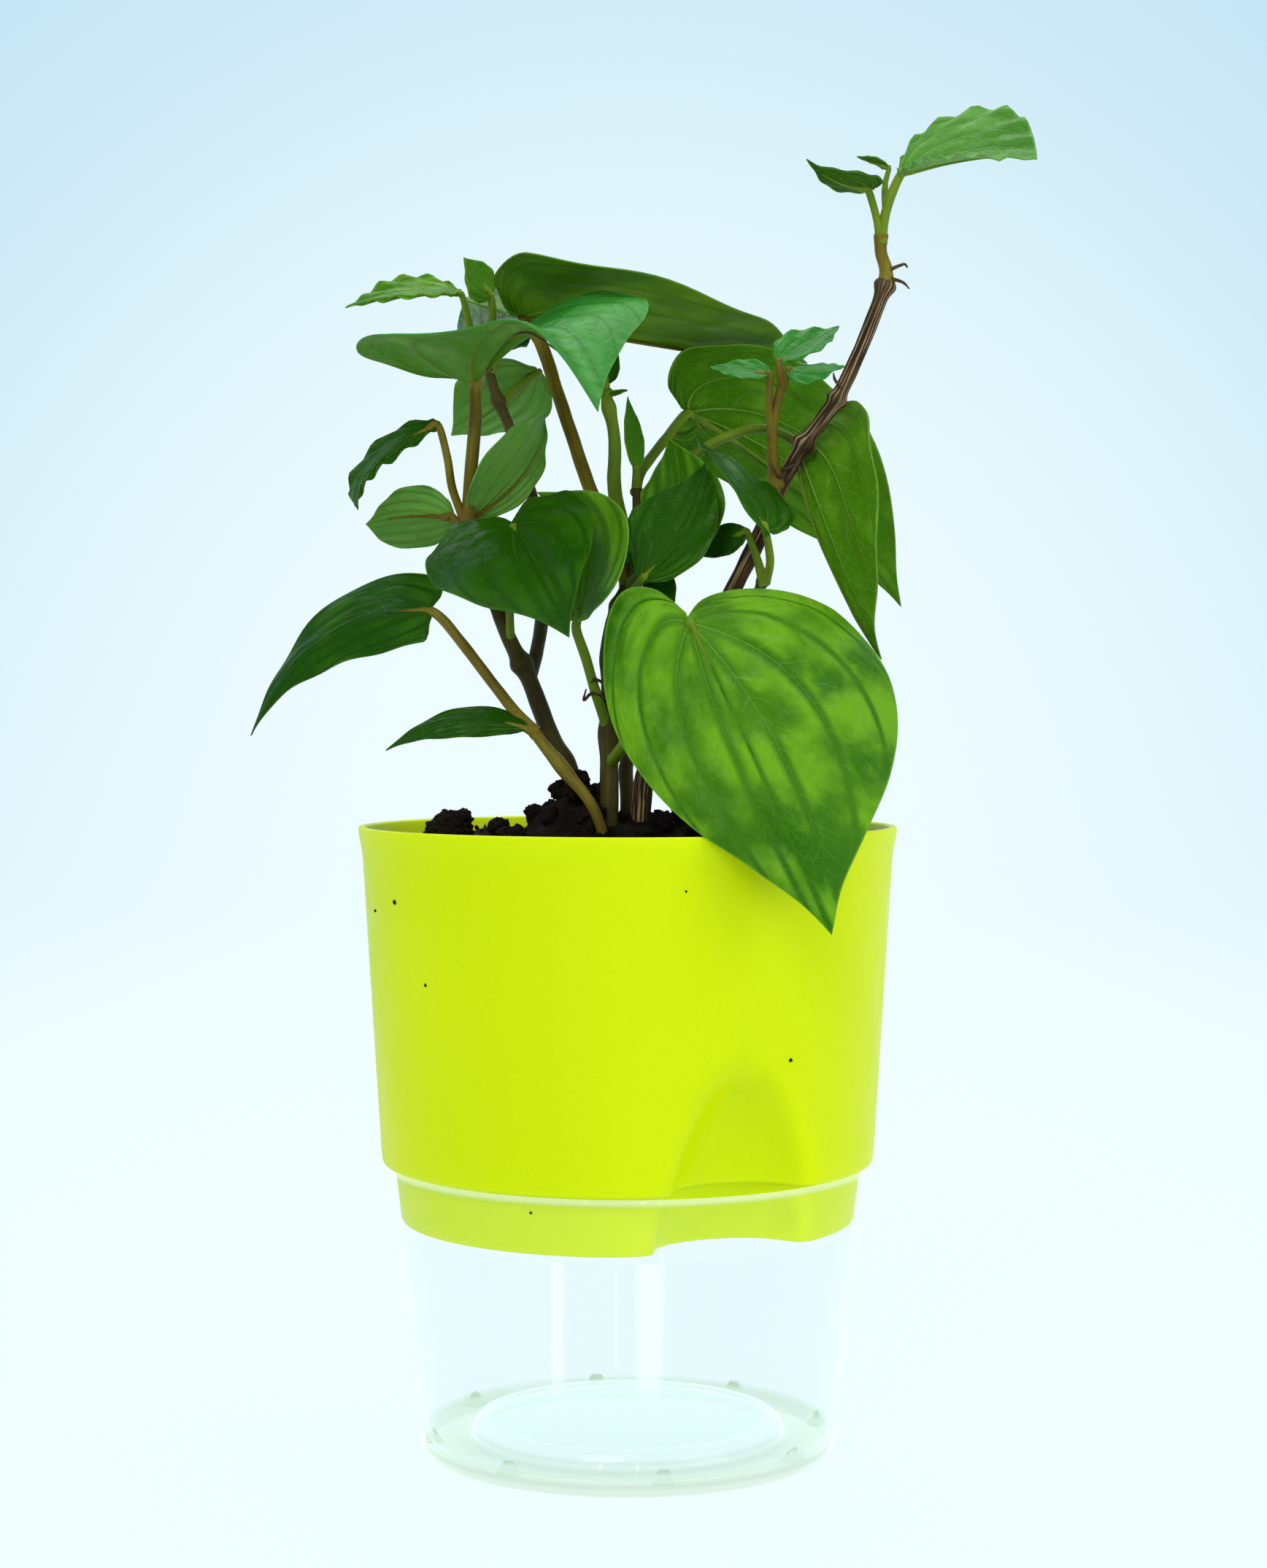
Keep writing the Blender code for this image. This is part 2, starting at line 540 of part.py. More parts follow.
def clod(name, x, y, radius, parts, material):
    """A loose lump of soil lying on the surface."""
    rand = random.Random(name)
    bm = bmesh.new()
    bmesh.ops.create_icosphere(bm, subdivisions=2, radius=radius * MM)
    for vert in bm.verts:
        vert.co *= rand.uniform(0.85, 1.08)
        vert.co.z *= 0.8
    mesh = bpy.data.meshes.new(name)
    bm.to_mesh(mesh)
    bm.free()
    made = add(name, mesh, parts, material)
    ground = max(soil_height(x + dx, y + dy) for dx in (-4, 0, 4) for dy in (-4, 0, 4))
    made.location = point((x, y, SOIL_Z + ground + radius * 0.8 * 1.05))
    return made


class Blade:
    """The bent surface of a leaf: where a point of its flat outline lies in space."""

    def __init__(self, row):
        self.joint = Vector(row["joint"])
        chord = Vector(row["tip"]) - self.joint
        self.length = chord.length
        self.along = chord.normalized()
        self.across = Vector(row["face"]).cross(self.along).normalized()
        self.up = self.along.cross(self.across)
        self.outline = row["outline"]
        self.width = row["width"]
        self.lobes = row.get("lobes", (1, 1))
        self.fold = row.get("fold", (0, 0))
        self.arch = row.get("arch", 0)
        self.sweep = row.get("sweep", 0)
        self.cup = row.get("cup", 0)
        self.ribs = row.get("ribs")

    def place(self, x, y):
        """x runs from joint (0) to tip (1), y across, both in blade lengths."""
        bow = self.up * self.arch + self.across * self.sweep
        middle = self.along * x + bow * 4 * x * (1 - x)
        ahead = (self.along + bow * 4 * (1 - 2 * x)).normalized()
        up = ahead.cross(self.across).normalized()
        across = up.cross(ahead)
        side = y > 0
        lift = self.fold[side] + self.cup * abs(y) / (2 * self.width[side])
        out = across * y * math.cos(lift) + up * abs(y) * math.sin(lift)
        return self.joint + (middle + out) * self.length

    def rib(self, half, share, out):
        """A point on the rib that ends at share round one side; out runs from 0 to 1."""
        if not self.ribs:
            x, y = self.edge(half, share)
            return self.place(x * out, y * out)
        halfway, end = (spline(points, EDGE_STEPS)[round(share * EDGE_STEPS)]
                        for points in zip(*self.ribs[half]))
        pull = 2 * halfway - (self.joint + end) / 2
        return self.joint * (1 - out) ** 2 + pull * 2 * out * (1 - out) + end * out ** 2

    def edge(self, half, share):
        """A point of the flat outline: half 0 or 1, share 0 at the notch, 1 at the tip."""
        x, y = spline([(*p, 0) for p in self.outline], EDGE_STEPS)[round(share * EDGE_STEPS)].xy
        if x < 0:
            x *= self.lobes[half]
        return x, y * self.width[half] * (1 if half else -1)


def leaf(name, row, parts, cutters, material, sleeves):
    """A blade of even thickness joined to its stalk, cut to sit beside its neighbours."""
    blade = Blade(row)
    small = blade.length < SMALL_LEAF
    rings, rays = (2, 6) if small else (3, 8)
    bm = bmesh.new()
    bmesh.ops.create_grid(bm, x_segments=rings, y_segments=2 * rays, size=1.0)
    for vert in bm.verts:
        out = (vert.co.x + 1) / 2
        turn = round((vert.co.y + 1) * rays)
        half = 0 if turn <= rays else 1
        share = (turn if half == 0 else 2 * rays - turn) / rays
        vert.co = blade.rib(half, share, out) * MM
    bmesh.ops.remove_doubles(bm, verts=bm.verts, dist=MERGE)
    bm.normal_update()
    if sum(face.normal.dot(blade.up) for face in bm.faces) < 0:
        bmesh.ops.reverse_faces(bm, faces=bm.faces)
    mesh = bpy.data.meshes.new(name)
    bm.to_mesh(mesh)
    bm.free()
    made = add(name, mesh, parts, material)
    solid = made.modifiers.new("thickness", "SOLIDIFY")
    solid.thickness = BLADE_T * MM
    solid.offset = 0.0
    stalk = tube(f"{name} stalk", (*row["stalk"], row["joint"]), row["radius"], cutters, 1)
    boolean(made, as_cutter(stalk), "UNION", use_self=True)
    for other in (row["stem"], *row.get("clear", ())):
        boolean(made, sleeves[other], "DIFFERENCE")
    return whole(made, parts)


def main():
    for old in list(bpy.data.objects):
        bpy.data.objects.remove(old)
    parts = collection("potted_betel_plant")
    cutters = collection("cutters")
    lime = finish("lime plastic", (0.62, 0.86, 0.02), 0.35)
    clear = finish("clear plastic", (0.93, 0.97, 0.95), 0.08, 0.35)
    earth = finish("soil", (0.025, 0.018, 0.013), 0.95)
    bark = finish("woody stem", (0.16, 0.10, 0.06), 0.8)
    green = finish("green stem", (0.20, 0.22, 0.05), 0.5)
    blade = finish("leaf", (0.05, 0.20, 0.02), 0.4)
    reservoir(parts, cutters, clear)
    pot(parts, cutters, lime)
    sleeves = {
        name: as_cutter(tube(f"{name} sleeve", points, radii, cutters, 2, GAP))
        for name, (points, radii, home) in STEMS.items()}
    soil(parts, cutters, earth,
         [sleeves[name] for name, row in STEMS.items() if row[2] == "soil"])
    clod("loose_clod", *LOOSE_CLOD, parts, earth)
    for name, (points, radii, home) in STEMS.items():
        stem = tube(name, points, radii, parts, 2)
        stem.data.materials.append(bark if name == "woody_vine" else green)
        if home != "soil":
            boolean(stem, sleeves[home], "DIFFERENCE")
            whole(stem, parts)
    for row in LEAVES.values():
        for name in row.get("clear", ()):
            other = LEAVES[name]
            if name not in sleeves:
                sleeves[name] = as_cutter(tube(
                    f"{name} sleeve", (*other["stalk"], other["joint"]), other["radius"],
                    cutters, 1, GAP))
    for name, row in LEAVES.items():
        leaf(name, row, parts, cutters, blade, sleeves)


main()
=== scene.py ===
# %% [markdown]
# # A potted betel plant
# Betel is a vine with heart-shaped leaves. This young one grows in a lime plastic pot that
# hangs in a clear water reservoir. The measured solids are loaded first and stay as they
# are; each visible piece is then modelled over them with its real surface detail. The
# plant's sizes are typed in millimetres and turned into metres by one factor; the studio
# and the node recipes are in metres.

# %% Load the measured solids
import contextlib
import math
import random
import bpy
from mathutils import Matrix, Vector, noise


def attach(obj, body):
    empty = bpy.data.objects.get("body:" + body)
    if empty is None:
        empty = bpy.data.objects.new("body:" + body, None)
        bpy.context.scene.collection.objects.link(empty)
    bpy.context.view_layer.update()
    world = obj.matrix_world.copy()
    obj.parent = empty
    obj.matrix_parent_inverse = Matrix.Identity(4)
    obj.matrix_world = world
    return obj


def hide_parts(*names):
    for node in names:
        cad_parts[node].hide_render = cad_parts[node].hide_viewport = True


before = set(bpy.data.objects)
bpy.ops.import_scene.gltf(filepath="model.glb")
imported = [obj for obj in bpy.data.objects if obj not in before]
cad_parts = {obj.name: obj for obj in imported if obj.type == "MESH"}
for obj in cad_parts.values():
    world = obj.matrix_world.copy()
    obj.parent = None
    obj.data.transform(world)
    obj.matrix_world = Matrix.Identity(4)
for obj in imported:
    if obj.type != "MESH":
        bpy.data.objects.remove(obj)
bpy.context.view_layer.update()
MM = 0.001

# %% [markdown]
# ## The studio
# The plant stands on a pale paper sweep: a floor that curves up into a wall, so no line
# shows where they meet. A plane is added and its far edge is extruded up through a
# quarter turn. Big soft lights stand above and at both sides, because a potted plant looks
# best in light with no hard shadow. The camera is a little above the rim and looks
# slightly down.

# %% Camera
def at_mm(*place):
    """A place typed in millimetres, as a vector in metres."""
    return Vector(place) * MM


bpy.ops.object.camera_add(location=at_mm(1.3, -643.98, 166.24),
                          rotation=(math.radians(90 - 1.593), 0, 0))
camera = bpy.context.object
camera.data.lens = 66.16
camera.data.sensor_width = 36.0
camera.data.clip_start = 0.01
bpy.context.scene.camera = camera
bpy.context.scene.view_settings.view_transform = "Standard"
print("camera", [round(value, 4) for value in camera.location])

# %% Helpers for modelling by hand
MERGE = 0.002                # points this close (in mm) become one


def deselect_all():
    """Leaves nothing selected, so that the next operator acts only on what is added."""
    if bpy.context.mode != "OBJECT":
        bpy.ops.object.mode_set(mode="OBJECT")
    bpy.ops.object.select_all(action="DESELECT")


def added(add, **settings):
    """Adds a mesh with nothing else selected."""
    deselect_all()
    add(**settings)
    return bpy.context.object


def pick(*pieces):
    """Selects these pieces and nothing else; the first is the active one."""
    deselect_all()
    for piece in pieces:
        piece.select_set(True)
    bpy.context.view_layer.objects.active = pieces[0]


@contextlib.contextmanager
def editing(piece):
    """Edit mode with the whole of one piece selected."""
    pick(piece)
    bpy.ops.object.mode_set(mode="EDIT")
    bpy.ops.mesh.select_all(action="SELECT")
    yield
    bpy.ops.object.mode_set(mode="OBJECT")


def settle(piece, name):
    """Names a piece and moves its place, turn and size into its mesh."""
    pick(piece)
    piece.name = piece.data.name = name
    bpy.ops.object.transform_apply(location=True, rotation=True, scale=True)
    return piece


def apply_modifiers(piece):
    pick(piece)
    for modifier in list(piece.modifiers):
        bpy.ops.object.modifier_apply(modifier=modifier.name)


def smooth(piece, degrees):
    """Smooth shading that keeps the edges sharper than the given angle."""
    pick(piece)
    bpy.ops.object.shade_smooth_by_angle(angle=math.radians(degrees))


def close_tube(piece):
    """Merges doubled points, closes the open ends and turns the faces out."""
    with editing(piece):
        bpy.ops.mesh.remove_doubles(threshold=MERGE * MM)
        bpy.ops.mesh.fill_holes(sides=0)
        bpy.ops.mesh.select_all(action="SELECT")
        bpy.ops.mesh.normals_make_consistent(inside=False)


def joined(name, pieces):
    """Several objects made one."""
    pick(*pieces)
    bpy.ops.object.join()
    return settle(bpy.context.object, name)


def tell(piece):
    print(piece.name, len(piece.data.polygons), "faces,",
          [round(side / MM, 1) for side in piece.dimensions], "mm")


def present(piece, finish, solid=None):
    """Gives a piece its finish, hands it to the frame and tells its size; solid names the
    measured solid that it stands for."""
    if finish:
        piece.data.materials.append(finish)
    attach(piece, "root")
    if solid:
        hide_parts(solid)
    tell(piece)


print("helpers ready")

# %% Paper sweep
FLOOR_SIZE = (6.0, 3.2)      # metres, as are the sweep's other sizes
BEND_STEPS, BEND_STEP, WALL = 12, 0.13, 3.0
JUST_BELOW = -0.0002         # keeps the paper clear of the foot ring

sweep = added(bpy.ops.mesh.primitive_plane_add, size=1.0)
sweep.scale = (*FLOOR_SIZE, 1.0)
sweep.location = (0, 0, JUST_BELOW)
settle(sweep, "paper_sweep")
bpy.ops.object.mode_set(mode="EDIT")
bpy.ops.mesh.select_mode(type="VERT")
bpy.ops.mesh.select_all(action="DESELECT")
bpy.ops.object.mode_set(mode="OBJECT")
for corner in sweep.data.vertices:
    corner.select = corner.co.y > 0
bpy.ops.object.mode_set(mode="EDIT")
for step in range(BEND_STEPS):
    bend = math.radians(90 / BEND_STEPS * (step + 0.5))
    bpy.ops.mesh.extrude_region_move(TRANSFORM_OT_translate={
        "value": (0, BEND_STEP * math.cos(bend), BEND_STEP * math.sin(bend))})
bpy.ops.mesh.extrude_region_move(TRANSFORM_OT_translate={"value": (0, 0, WALL)})
bpy.ops.object.mode_set(mode="OBJECT")
smooth(sweep, 60)
tell(sweep)

# %% Lights
def softbox(name, place, target, size, power, tint):
    """A square light that faces its target."""
    turn = (Vector(target) - Vector(place)).to_track_quat("-Z", "Y").to_euler()
    bpy.ops.object.light_add(type="AREA", location=place, rotation=turn)
    lamp = bpy.context.object
    lamp.name = name
    lamp.data.shape = "RECTANGLE"
    lamp.data.size, lamp.data.size_y = size
    lamp.data.energy = power
    lamp.data.color = tint


plant_middle, pot_foot = (0, 0, 0.17), (0, 0, 0.05)
softbox("key_light", (-0.5, -1.3, 1.2), plant_middle, (0.8, 0.8), 12, (1, 1, 0.97))
softbox("fill_light", (1.3, -0.7, 0.6), plant_middle, (0.9, 1.3), 8, (0.98, 1, 1))
softbox("top_light", (0.1, 0.3, 1.4), plant_middle, (1.4, 1.0), 14, (1, 1, 0.98))
softbox("left_strip", (-0.42, -1.2, 0.16), pot_foot, (0.05, 0.6), 0.9, (1, 1, 1))
softbox("middle_strip", (0.16, -1.3, 0.16), pot_foot, (0.05, 0.6), 0.9, (1, 1, 1))

world = bpy.data.worlds.new("pale_room")
bpy.context.scene.world = world
world.use_nodes = True
room = world.node_tree.nodes["Background"]
room.inputs["Color"].default_value = (0.90, 0.98, 1.0, 1)
room.inputs["Strength"].default_value = 0.42

# %% [markdown]
# ## Node helpers
# Every finish is built from nodes. These helpers add a node, do one piece of arithmetic,
# mix two colours or ease a value between two limits, which keeps each finish short enough
# to read as a recipe.

# %% Node helpers
tree = None                  # the node tree of the finish that is being made


def feed(socket, value):
    """Gives a socket a value, or a link when the value is another socket."""
    if isinstance(value, bpy.types.NodeSocket):
        tree.links.new(value, socket)
    elif hasattr(value, "__len__") and len(value) == 3 and socket.type == "RGBA":
        socket.default_value = (*value, 1.0)
    else:
        socket.default_value = value


def node(kind, inputs=None, **settings):
    made = tree.nodes.new("ShaderNode" + kind)
    for name, value in settings.items():
        setattr(made, name, value)
    for name, value in (inputs or {}).items():
        feed(made.inputs[name], value)
    return made


def calc(operation, *values):
    made = node("Math", operation=operation)
    for slot, value in enumerate(values):
        feed(made.inputs[slot], value)
    return made.outputs[0]


def plus(first, second):
    return calc("ADD", first, second)


def minus(first, second):
    return calc("SUBTRACT", first, second)


def times(first, second):
    return calc("MULTIPLY", first, second)


def squared(value):
    return calc("POWER", value, 2.0)


def blend(share, first, second):
    """first where share is 0, second where it is 1."""
    made = node("Mix", data_type="RGBA")
    for slot, value in ((0, share), (6, first), (7, second)):
        feed(made.inputs[slot], value)
    return made.outputs[2]


def ease(value, low, high, start=0.0, end=1.0):
    """Eases from start to end as the value goes from low to high."""
    return node("MapRange", {"Value": value, "From Min": low, "From Max": high,
                             "To Min": start, "To Max": end},
                interpolation_type="SMOOTHSTEP").outputs[0]


def noise_on(place, scale, detail=3.0, stretch=None):
    """Soft noise; stretch scales the place first, for grain along one direction."""
    if stretch:
        place = node("Mapping", {"Vector": place, "Scale": stretch}).outputs[0]
    return node("TexNoise", {"Vector": place, "Scale": scale, "Detail": detail}).outputs[0]


def new_finish(name, **values):
    """Starts a finish: the material, its Principled inputs and the Object coordinates."""
    global tree
    material = bpy.data.materials.new(name)
    material.use_nodes = True
    tree = material.node_tree
    shader = tree.nodes["Principled BSDF"].inputs
    for socket, value in values.items():
        feed(shader[socket.replace("_", " ")], value)
    return material, shader, node("TexCoord").outputs["Object"]


def raise_bumps(shader, height, depth_mm, strength=1.0):
    feed(shader["Normal"], node("Bump", {
        "Height": height, "Distance": depth_mm * MM, "Strength": strength}).outputs[0])


print("node helpers ready")

# %% Paper finish
paper, shader, place = new_finish(
    "pale_paper", Roughness=0.9, Emission_Strength=1.0, Specular_IOR_Level=0.0,
    Base_Color=(0.03, 0.03, 0.03))
# Painted pool of light: the paper glows palest around the plant and fades to a darker blue
# further off.
across, _, height = node("SeparateXYZ", {"Vector": place}).outputs
from_plant = calc("SQRT", plus(squared(across), squared(minus(height, 0.1))))
feed(shader["Emission Color"], blend(ease(from_plant, 0.15, 1.3),
                                     (0.84, 0.96, 0.985), (0.52, 0.75, 0.88)))
sweep.data.materials.append(paper)
print("paper finish ready")

# %% [markdown]
# ## The pot
# The pot is smooth lime plastic: a wide bowl with a flared lip, a ledge that rests on
# the reservoir's rim and a skirt below it. It is turned like a bowl on a wheel: a circle
# is added, then extruded and resized again and again, up the outside and down the inside,
# so that the wall is one closed skin. A filling groove, shaped like half a bullet, runs
# down one side. Its points are pushed in afterwards, because a groove that is pushed in
# keeps the wall's thickness and gets the soft edges of moulded plastic.

# %% Turning a bowl from a circle
def turned(name, profile, sides):
    """Extrudes and resizes a circle through (radius, height) points in mm."""
    radius, height = profile[0]
    piece = added(bpy.ops.mesh.primitive_circle_add, vertices=sides, radius=radius * MM,
                  fill_type="NGON", location=(0, 0, height * MM))
    with editing(piece):
        for wider, higher in profile[1:]:
            bpy.ops.mesh.extrude_region_move(TRANSFORM_OT_translate={
                "value": (0, 0, (higher - height) * MM)})
            bpy.ops.transform.resize(value=(wider / radius, wider / radius, 1),
                                     center_override=(0, 0, higher * MM))
            radius, height = wider, higher
        bpy.ops.mesh.select_all(action="SELECT")
        bpy.ops.mesh.normals_make_consistent(inside=False)
    return settle(piece, name)


def cut(piece, tool):
    """Cuts one piece with another, which is then thrown away."""
    modifier = piece.modifiers.new("cut", "BOOLEAN")
    modifier.operation = "DIFFERENCE"
    modifier.solver = "EXACT"
    modifier.object = tool
    apply_modifiers(piece)
    bpy.data.objects.remove(tool)


print("turning helper ready")

# %% Lime plastic
lime, shader, place = new_finish(
    "lime_plastic", Specular_IOR_Level=0.08, Subsurface_Weight=0.3,
    Subsurface_Radius=(1, 1, 0.05), Subsurface_Scale=0.004)
cloudy = ease(noise_on(place, 9, 2), 0.35, 0.65)
scuffs = ease(noise_on(place, 900, 4), 0.60, 0.72)
feed(shader["Base Color"], blend(
    times(scuffs, 0.25), blend(cloudy, (0.62, 0.78, 0.0), (0.70, 0.84, 0.0)),
    (0.52, 0.64, 0.004)))
feed(shader["Roughness"], ease(noise_on(place, 130, 3), 0.3, 0.7, 0.30, 0.42))
raise_bumps(shader, noise_on(place, 420, 2), 0.02, 0.5)
print("lime plastic ready")

# %% Pot
UNDERSIDE_Z, FLOOR_MIDDLE_Z = 51.5, 52.4
LEDGE_Z, OUTER_R, INNER_R = 66.5, 55.0, 53.25    # where the straight wall starts
WALL_SLOPE = 0.0607                    # how much wider the wall gets per mm of height
DRAINS, DRAIN_RING, DRAIN_R, MIDDLE_HOLE_R = 6, 30, 2.5, 5.0
STILL_R, STILL_FADE = 34, 10           # the floor inside this radius isn't pushed
GROOVE_TURN = math.radians(27.5)
GROOVE_TOP, GROOVE_FADE = 97, 12       # the groove runs out over this height
# softness of the groove's bottom (mm2) and width of its edge: rounder at the left
GROOVE_LEFT, GROOVE_RIGHT = (1500, 14.0), (420, 5.0)
# height, and half the groove's width there
GROOVE = ((46, 16.2), (54, 16.2), (60, 15.6), (66, 14.6), (71, 13.1), (76, 11.2),
          (80.5, 9.0), (84.2, 6.8), (87.4, 4.6), (90.0, 2.6), (92.5, 0.0), (200, 0.0))


def limited(value):
    return min(1.0, max(0.0, value))


def groove_depth(x, y, z):
    """How far in (mm) the wall is pushed at a place in mm, and the way it goes."""
    out = Vector((math.sin(GROOVE_TURN), -math.cos(GROOVE_TURN), 0))
    beside = x * math.cos(GROOVE_TURN) + y * math.sin(GROOVE_TURN)
    if Vector((x, y, 0)).dot(out) < 0:
        return 0.0, out
    half = next(low[1] + (high[1] - low[1]) * (z - low[0]) / (high[0] - low[0])
                for low, high in zip(GROOVE, GROOVE[1:]) if z <= high[0])
    room = half ** 2 - beside ** 2
    soft, edge = GROOVE_LEFT if beside < 0 else GROOVE_RIGHT
    depth = math.sqrt((room + math.sqrt(room ** 2 + soft)) / 2)
    fade = limited((half + edge - abs(beside)) / edge)
    fade = fade * fade * (3 - 2 * fade)
    fade *= limited((GROOVE_TOP - z) / GROOVE_FADE) ** 1.6
    return depth * fade, out


outside = [(50.0, 51.5), (50.35, 51.7), (50.6, 52.2), (50.95, 55), (51.3, 58), (51.65, 61),
           (51.9, 63.0), (52.1, 63.8), (52.6, 64.3), (53.4, 64.3), (54.2, 64.4),
           (54.6, 64.7), (54.8, 65.2), (54.95, 66.5)]
outside += [(OUTER_R + WALL_SLOPE * (height - LEDGE_Z), height)
            for height in range(68, 133, 2)]
outside += [(59.15, 133.4), (59.35, 134.6), (59.75, 136.6), (59.95, 138.2), (59.97, 138.8),
            (59.75, 139.1), (58.6, 139.1), (58.25, 138.8), (57.9, 137.6), (57.5, 134)]
inside = [(INNER_R + WALL_SLOPE * (height - LEDGE_Z), height)
          for height in range(132, 67, -2)]
inside += [(53.0, LEDGE_Z), (51.6, 64.6), (50.3, 62.8), (49.6, 58), (48.7, 54), (48.2, 53.4),
           (42, 53.3), (36, 53.3), (20, 53.3), (4, 53.3)]
underside = [(radius, UNDERSIDE_Z) for radius in (4, 20, 36, 42, 48)]
pot = turned("pot", underside + outside + inside, 360)
for corner in pot.data.vertices:
    x, y, z = corner.co / MM
    depth, out = groove_depth(x, y, z)
    corner.co -= out * depth * limited((math.hypot(x, y) - STILL_R) / STILL_FADE) * MM
for number in range(DRAINS + 1):
    turn = math.tau * number / DRAINS
    ring, hole = (DRAIN_RING, DRAIN_R) if number < DRAINS else (0, MIDDLE_HOLE_R)
    cut(pot, added(bpy.ops.mesh.primitive_cylinder_add,
                   vertices=32, radius=hole * MM, depth=8 * MM,
                   location=at_mm(ring * math.sin(turn), ring * math.cos(turn),
                                  FLOOR_MIDDLE_Z)))
smooth(pot, 32)
present(pot, lime, "pot")

# %% [markdown]
# ## The reservoir
# The reservoir is clear moulded plastic. It stands on a narrow foot ring, its floor has a
# raised disc in the middle, and eight small ramps stand in the corner of the floor. It is
# turned in one go, up the outside and down the inside, so it is a closed shell. Its walls
# are thin, so the finish is see-through where the wall faces the eye and gets denser where
# it is seen edge-on, as thin plastic does. A trace of yellow-green shows at the thick
# floor. Its colours are given off as a pale glow, painted light that keeps the plastic
# from going dark. The ramps get painted shade, the rim a pale painted highlight, and two
# pale vertical streaks on the front wall are painted reflections.

# %% Clear plastic
clear, shader, place = new_finish(
    "clear_plastic", Roughness=0.05, IOR=1.46, Emission_Strength=1.0,
    Base_Color=(0.10, 0.13, 0.13))
across, back, height = node("SeparateXYZ", {"Vector": place}).outputs
radius = calc("SQRT", plus(squared(across), squared(back)))
edge_on = node("LayerWeight", {"Blend": 0.10}).outputs["Facing"]
colour = (0.52, 0.74, 0.76)
thin = ease(height, 0.0500, 0.0515, 0.085, 0.025)
cover = plus(thin, ease(edge_on, 0.45, 1.0, 0.0, 0.24))
# Painted light in these layers: the ramps' dark olive is painted shade and the rim's pale band a
# painted highlight; the others tint the foot, a band at the floor's height and the raised disc.
layers = (    # what it shows, from outside to inside: mask, colour, how much it covers
    (times(ease(radius, 0.0440, 0.0436), ease(height, 0.0029, 0.0033)),
     (0.34, 0.42, 0.26), 0.75),
    (ease(height, 0.0622, 0.0634), (0.80, 0.90, 0.62), 0.30),
    (ease(height, 0.0050, 0.0036), (0.55, 0.70, 0.56), 0.50),
    (times(ease(height, 0.0034, 0.0026), ease(height, 0.0016, 0.0022)),
     (0.42, 0.55, 0.44), 0.50),
    (times(ease(radius, 0.0354, 0.0340), ease(height, 0.016, 0.012)),
     (0.64, 0.80, 0.80), 0.42),
    (times(ease(radius, 0.0318, 0.0305), ease(height, 0.016, 0.012)),
     (0.54, 0.70, 0.69), 0.36),
)
for mask, shade, share in layers:
    colour = blend(mask, colour, shade)
    cover = calc("MULTIPLY_ADD", mask, minus(share, cover), cover)
# Painted reflections: two pale vertical streaks on the front wall, fading in above the foot and
# stopping where the pot's skirt begins.
front = ease(back, -0.025, -0.032)
painted_reflection_area = times(times(front, ease(height, 0.016, 0.028)), ease(height, 0.0515, 0.0500))
for left, right in ((-0.0165, -0.0125), (0.0005, 0.0085)):
    middle, soft = (left + right) / 2, (right - left) / 2
    gap = calc("ABSOLUTE", minus(across, middle))
    streak = times(painted_reflection_area, ease(gap, soft, soft * 0.4))
    colour = blend(streak, colour, (0.86, 0.96, 0.96))
    cover = calc("MULTIPLY_ADD", streak, 0.20, cover)
# Painted light: the plastic gives off all these colours as glow, so it never goes dark.
feed(shader["Emission Color"], colour)
feed(shader["Alpha"], cover)
print("clear plastic ready")

# %% Reservoir
RAMPS, RAMP_RING, RAMP_Z = 8, 44.6, 2.8
RAMP_TURN = math.radians(10)           # the first ramp, from the front to the right
RAMP_FOOT, RAMP_TOP = (5.3, 3.4, -0.4), (2.2, 0.4, 3.3)    # width, reach inwards, height
RAMP_BACK = -1.0                       # how far it reaches into the wall

reservoir = turned("reservoir", [
    (30, 5.2), (33.4, 5.2), (34.6, 4.6), (35.4, 1.5), (36, 1.2), (42.8, 1.2), (43.3, 0.9),
    (43.6, 0.1), (43.9, 0), (45.2, 0), (45.7, 0.2), (46.0, 0.8), (46.2, 2.0), (47.4, 12),
    (48.9, 24), (50.3, 36), (51.8, 48), (53.2, 60), (53.6, 63.4), (53.5, 63.8),
    (53.2, 64.0), (52.8, 64.0), (52.5, 63.7), (52.3, 62), (50.9, 50), (49.4, 38),
    (47.9, 26), (46.5, 14), (45.2, 4.6), (44.6, 3.3), (43.4, 2.8), (35.8, 2.8),
    (34.9, 3.2), (34.0, 5.8), (33.2, 6.5), (32.2, 6.7), (2, 6.7)], 160)
ramps = []
for number in range(RAMPS):
    turn = RAMP_TURN + number * math.tau / RAMPS
    ramp = added(bpy.ops.mesh.primitive_cube_add, size=1.0)
    for corner in ramp.data.vertices:
        wide, inwards, high = RAMP_TOP if corner.co.z > 0 else RAMP_FOOT
        corner.co = at_mm(corner.co.x * wide, inwards if corner.co.y > 0 else RAMP_BACK,
                          high)
    bevel = ramp.modifiers.new("edges", "BEVEL")
    bevel.width = 0.45 * MM
    bevel.segments = 3
    apply_modifiers(ramp)
    ramp.rotation_euler.z = turn
    ramp.location = at_mm(RAMP_RING * math.sin(turn), -RAMP_RING * math.cos(turn), RAMP_Z)
    ramps.append(settle(ramp, f"ramp_{number}"))
reservoir = joined("reservoir_clear", [reservoir, *ramps])
smooth(reservoir, 35)
present(reservoir, clear, "reservoir")

# %% [markdown]
# ## The soil
# Potting soil is dark, crumbly and uneven. The bed is turned as a disc of many rings, so
# that its top has points to move, and noise of three sizes moves them: slow mounds, lumps
# and grain. Loose crumbs are then scattered over it, each a small icosphere with its own
# size, turn and place, because real soil always has loose grains on top.
# The bed stops above the groove: further down, the pot's own wall hides it.

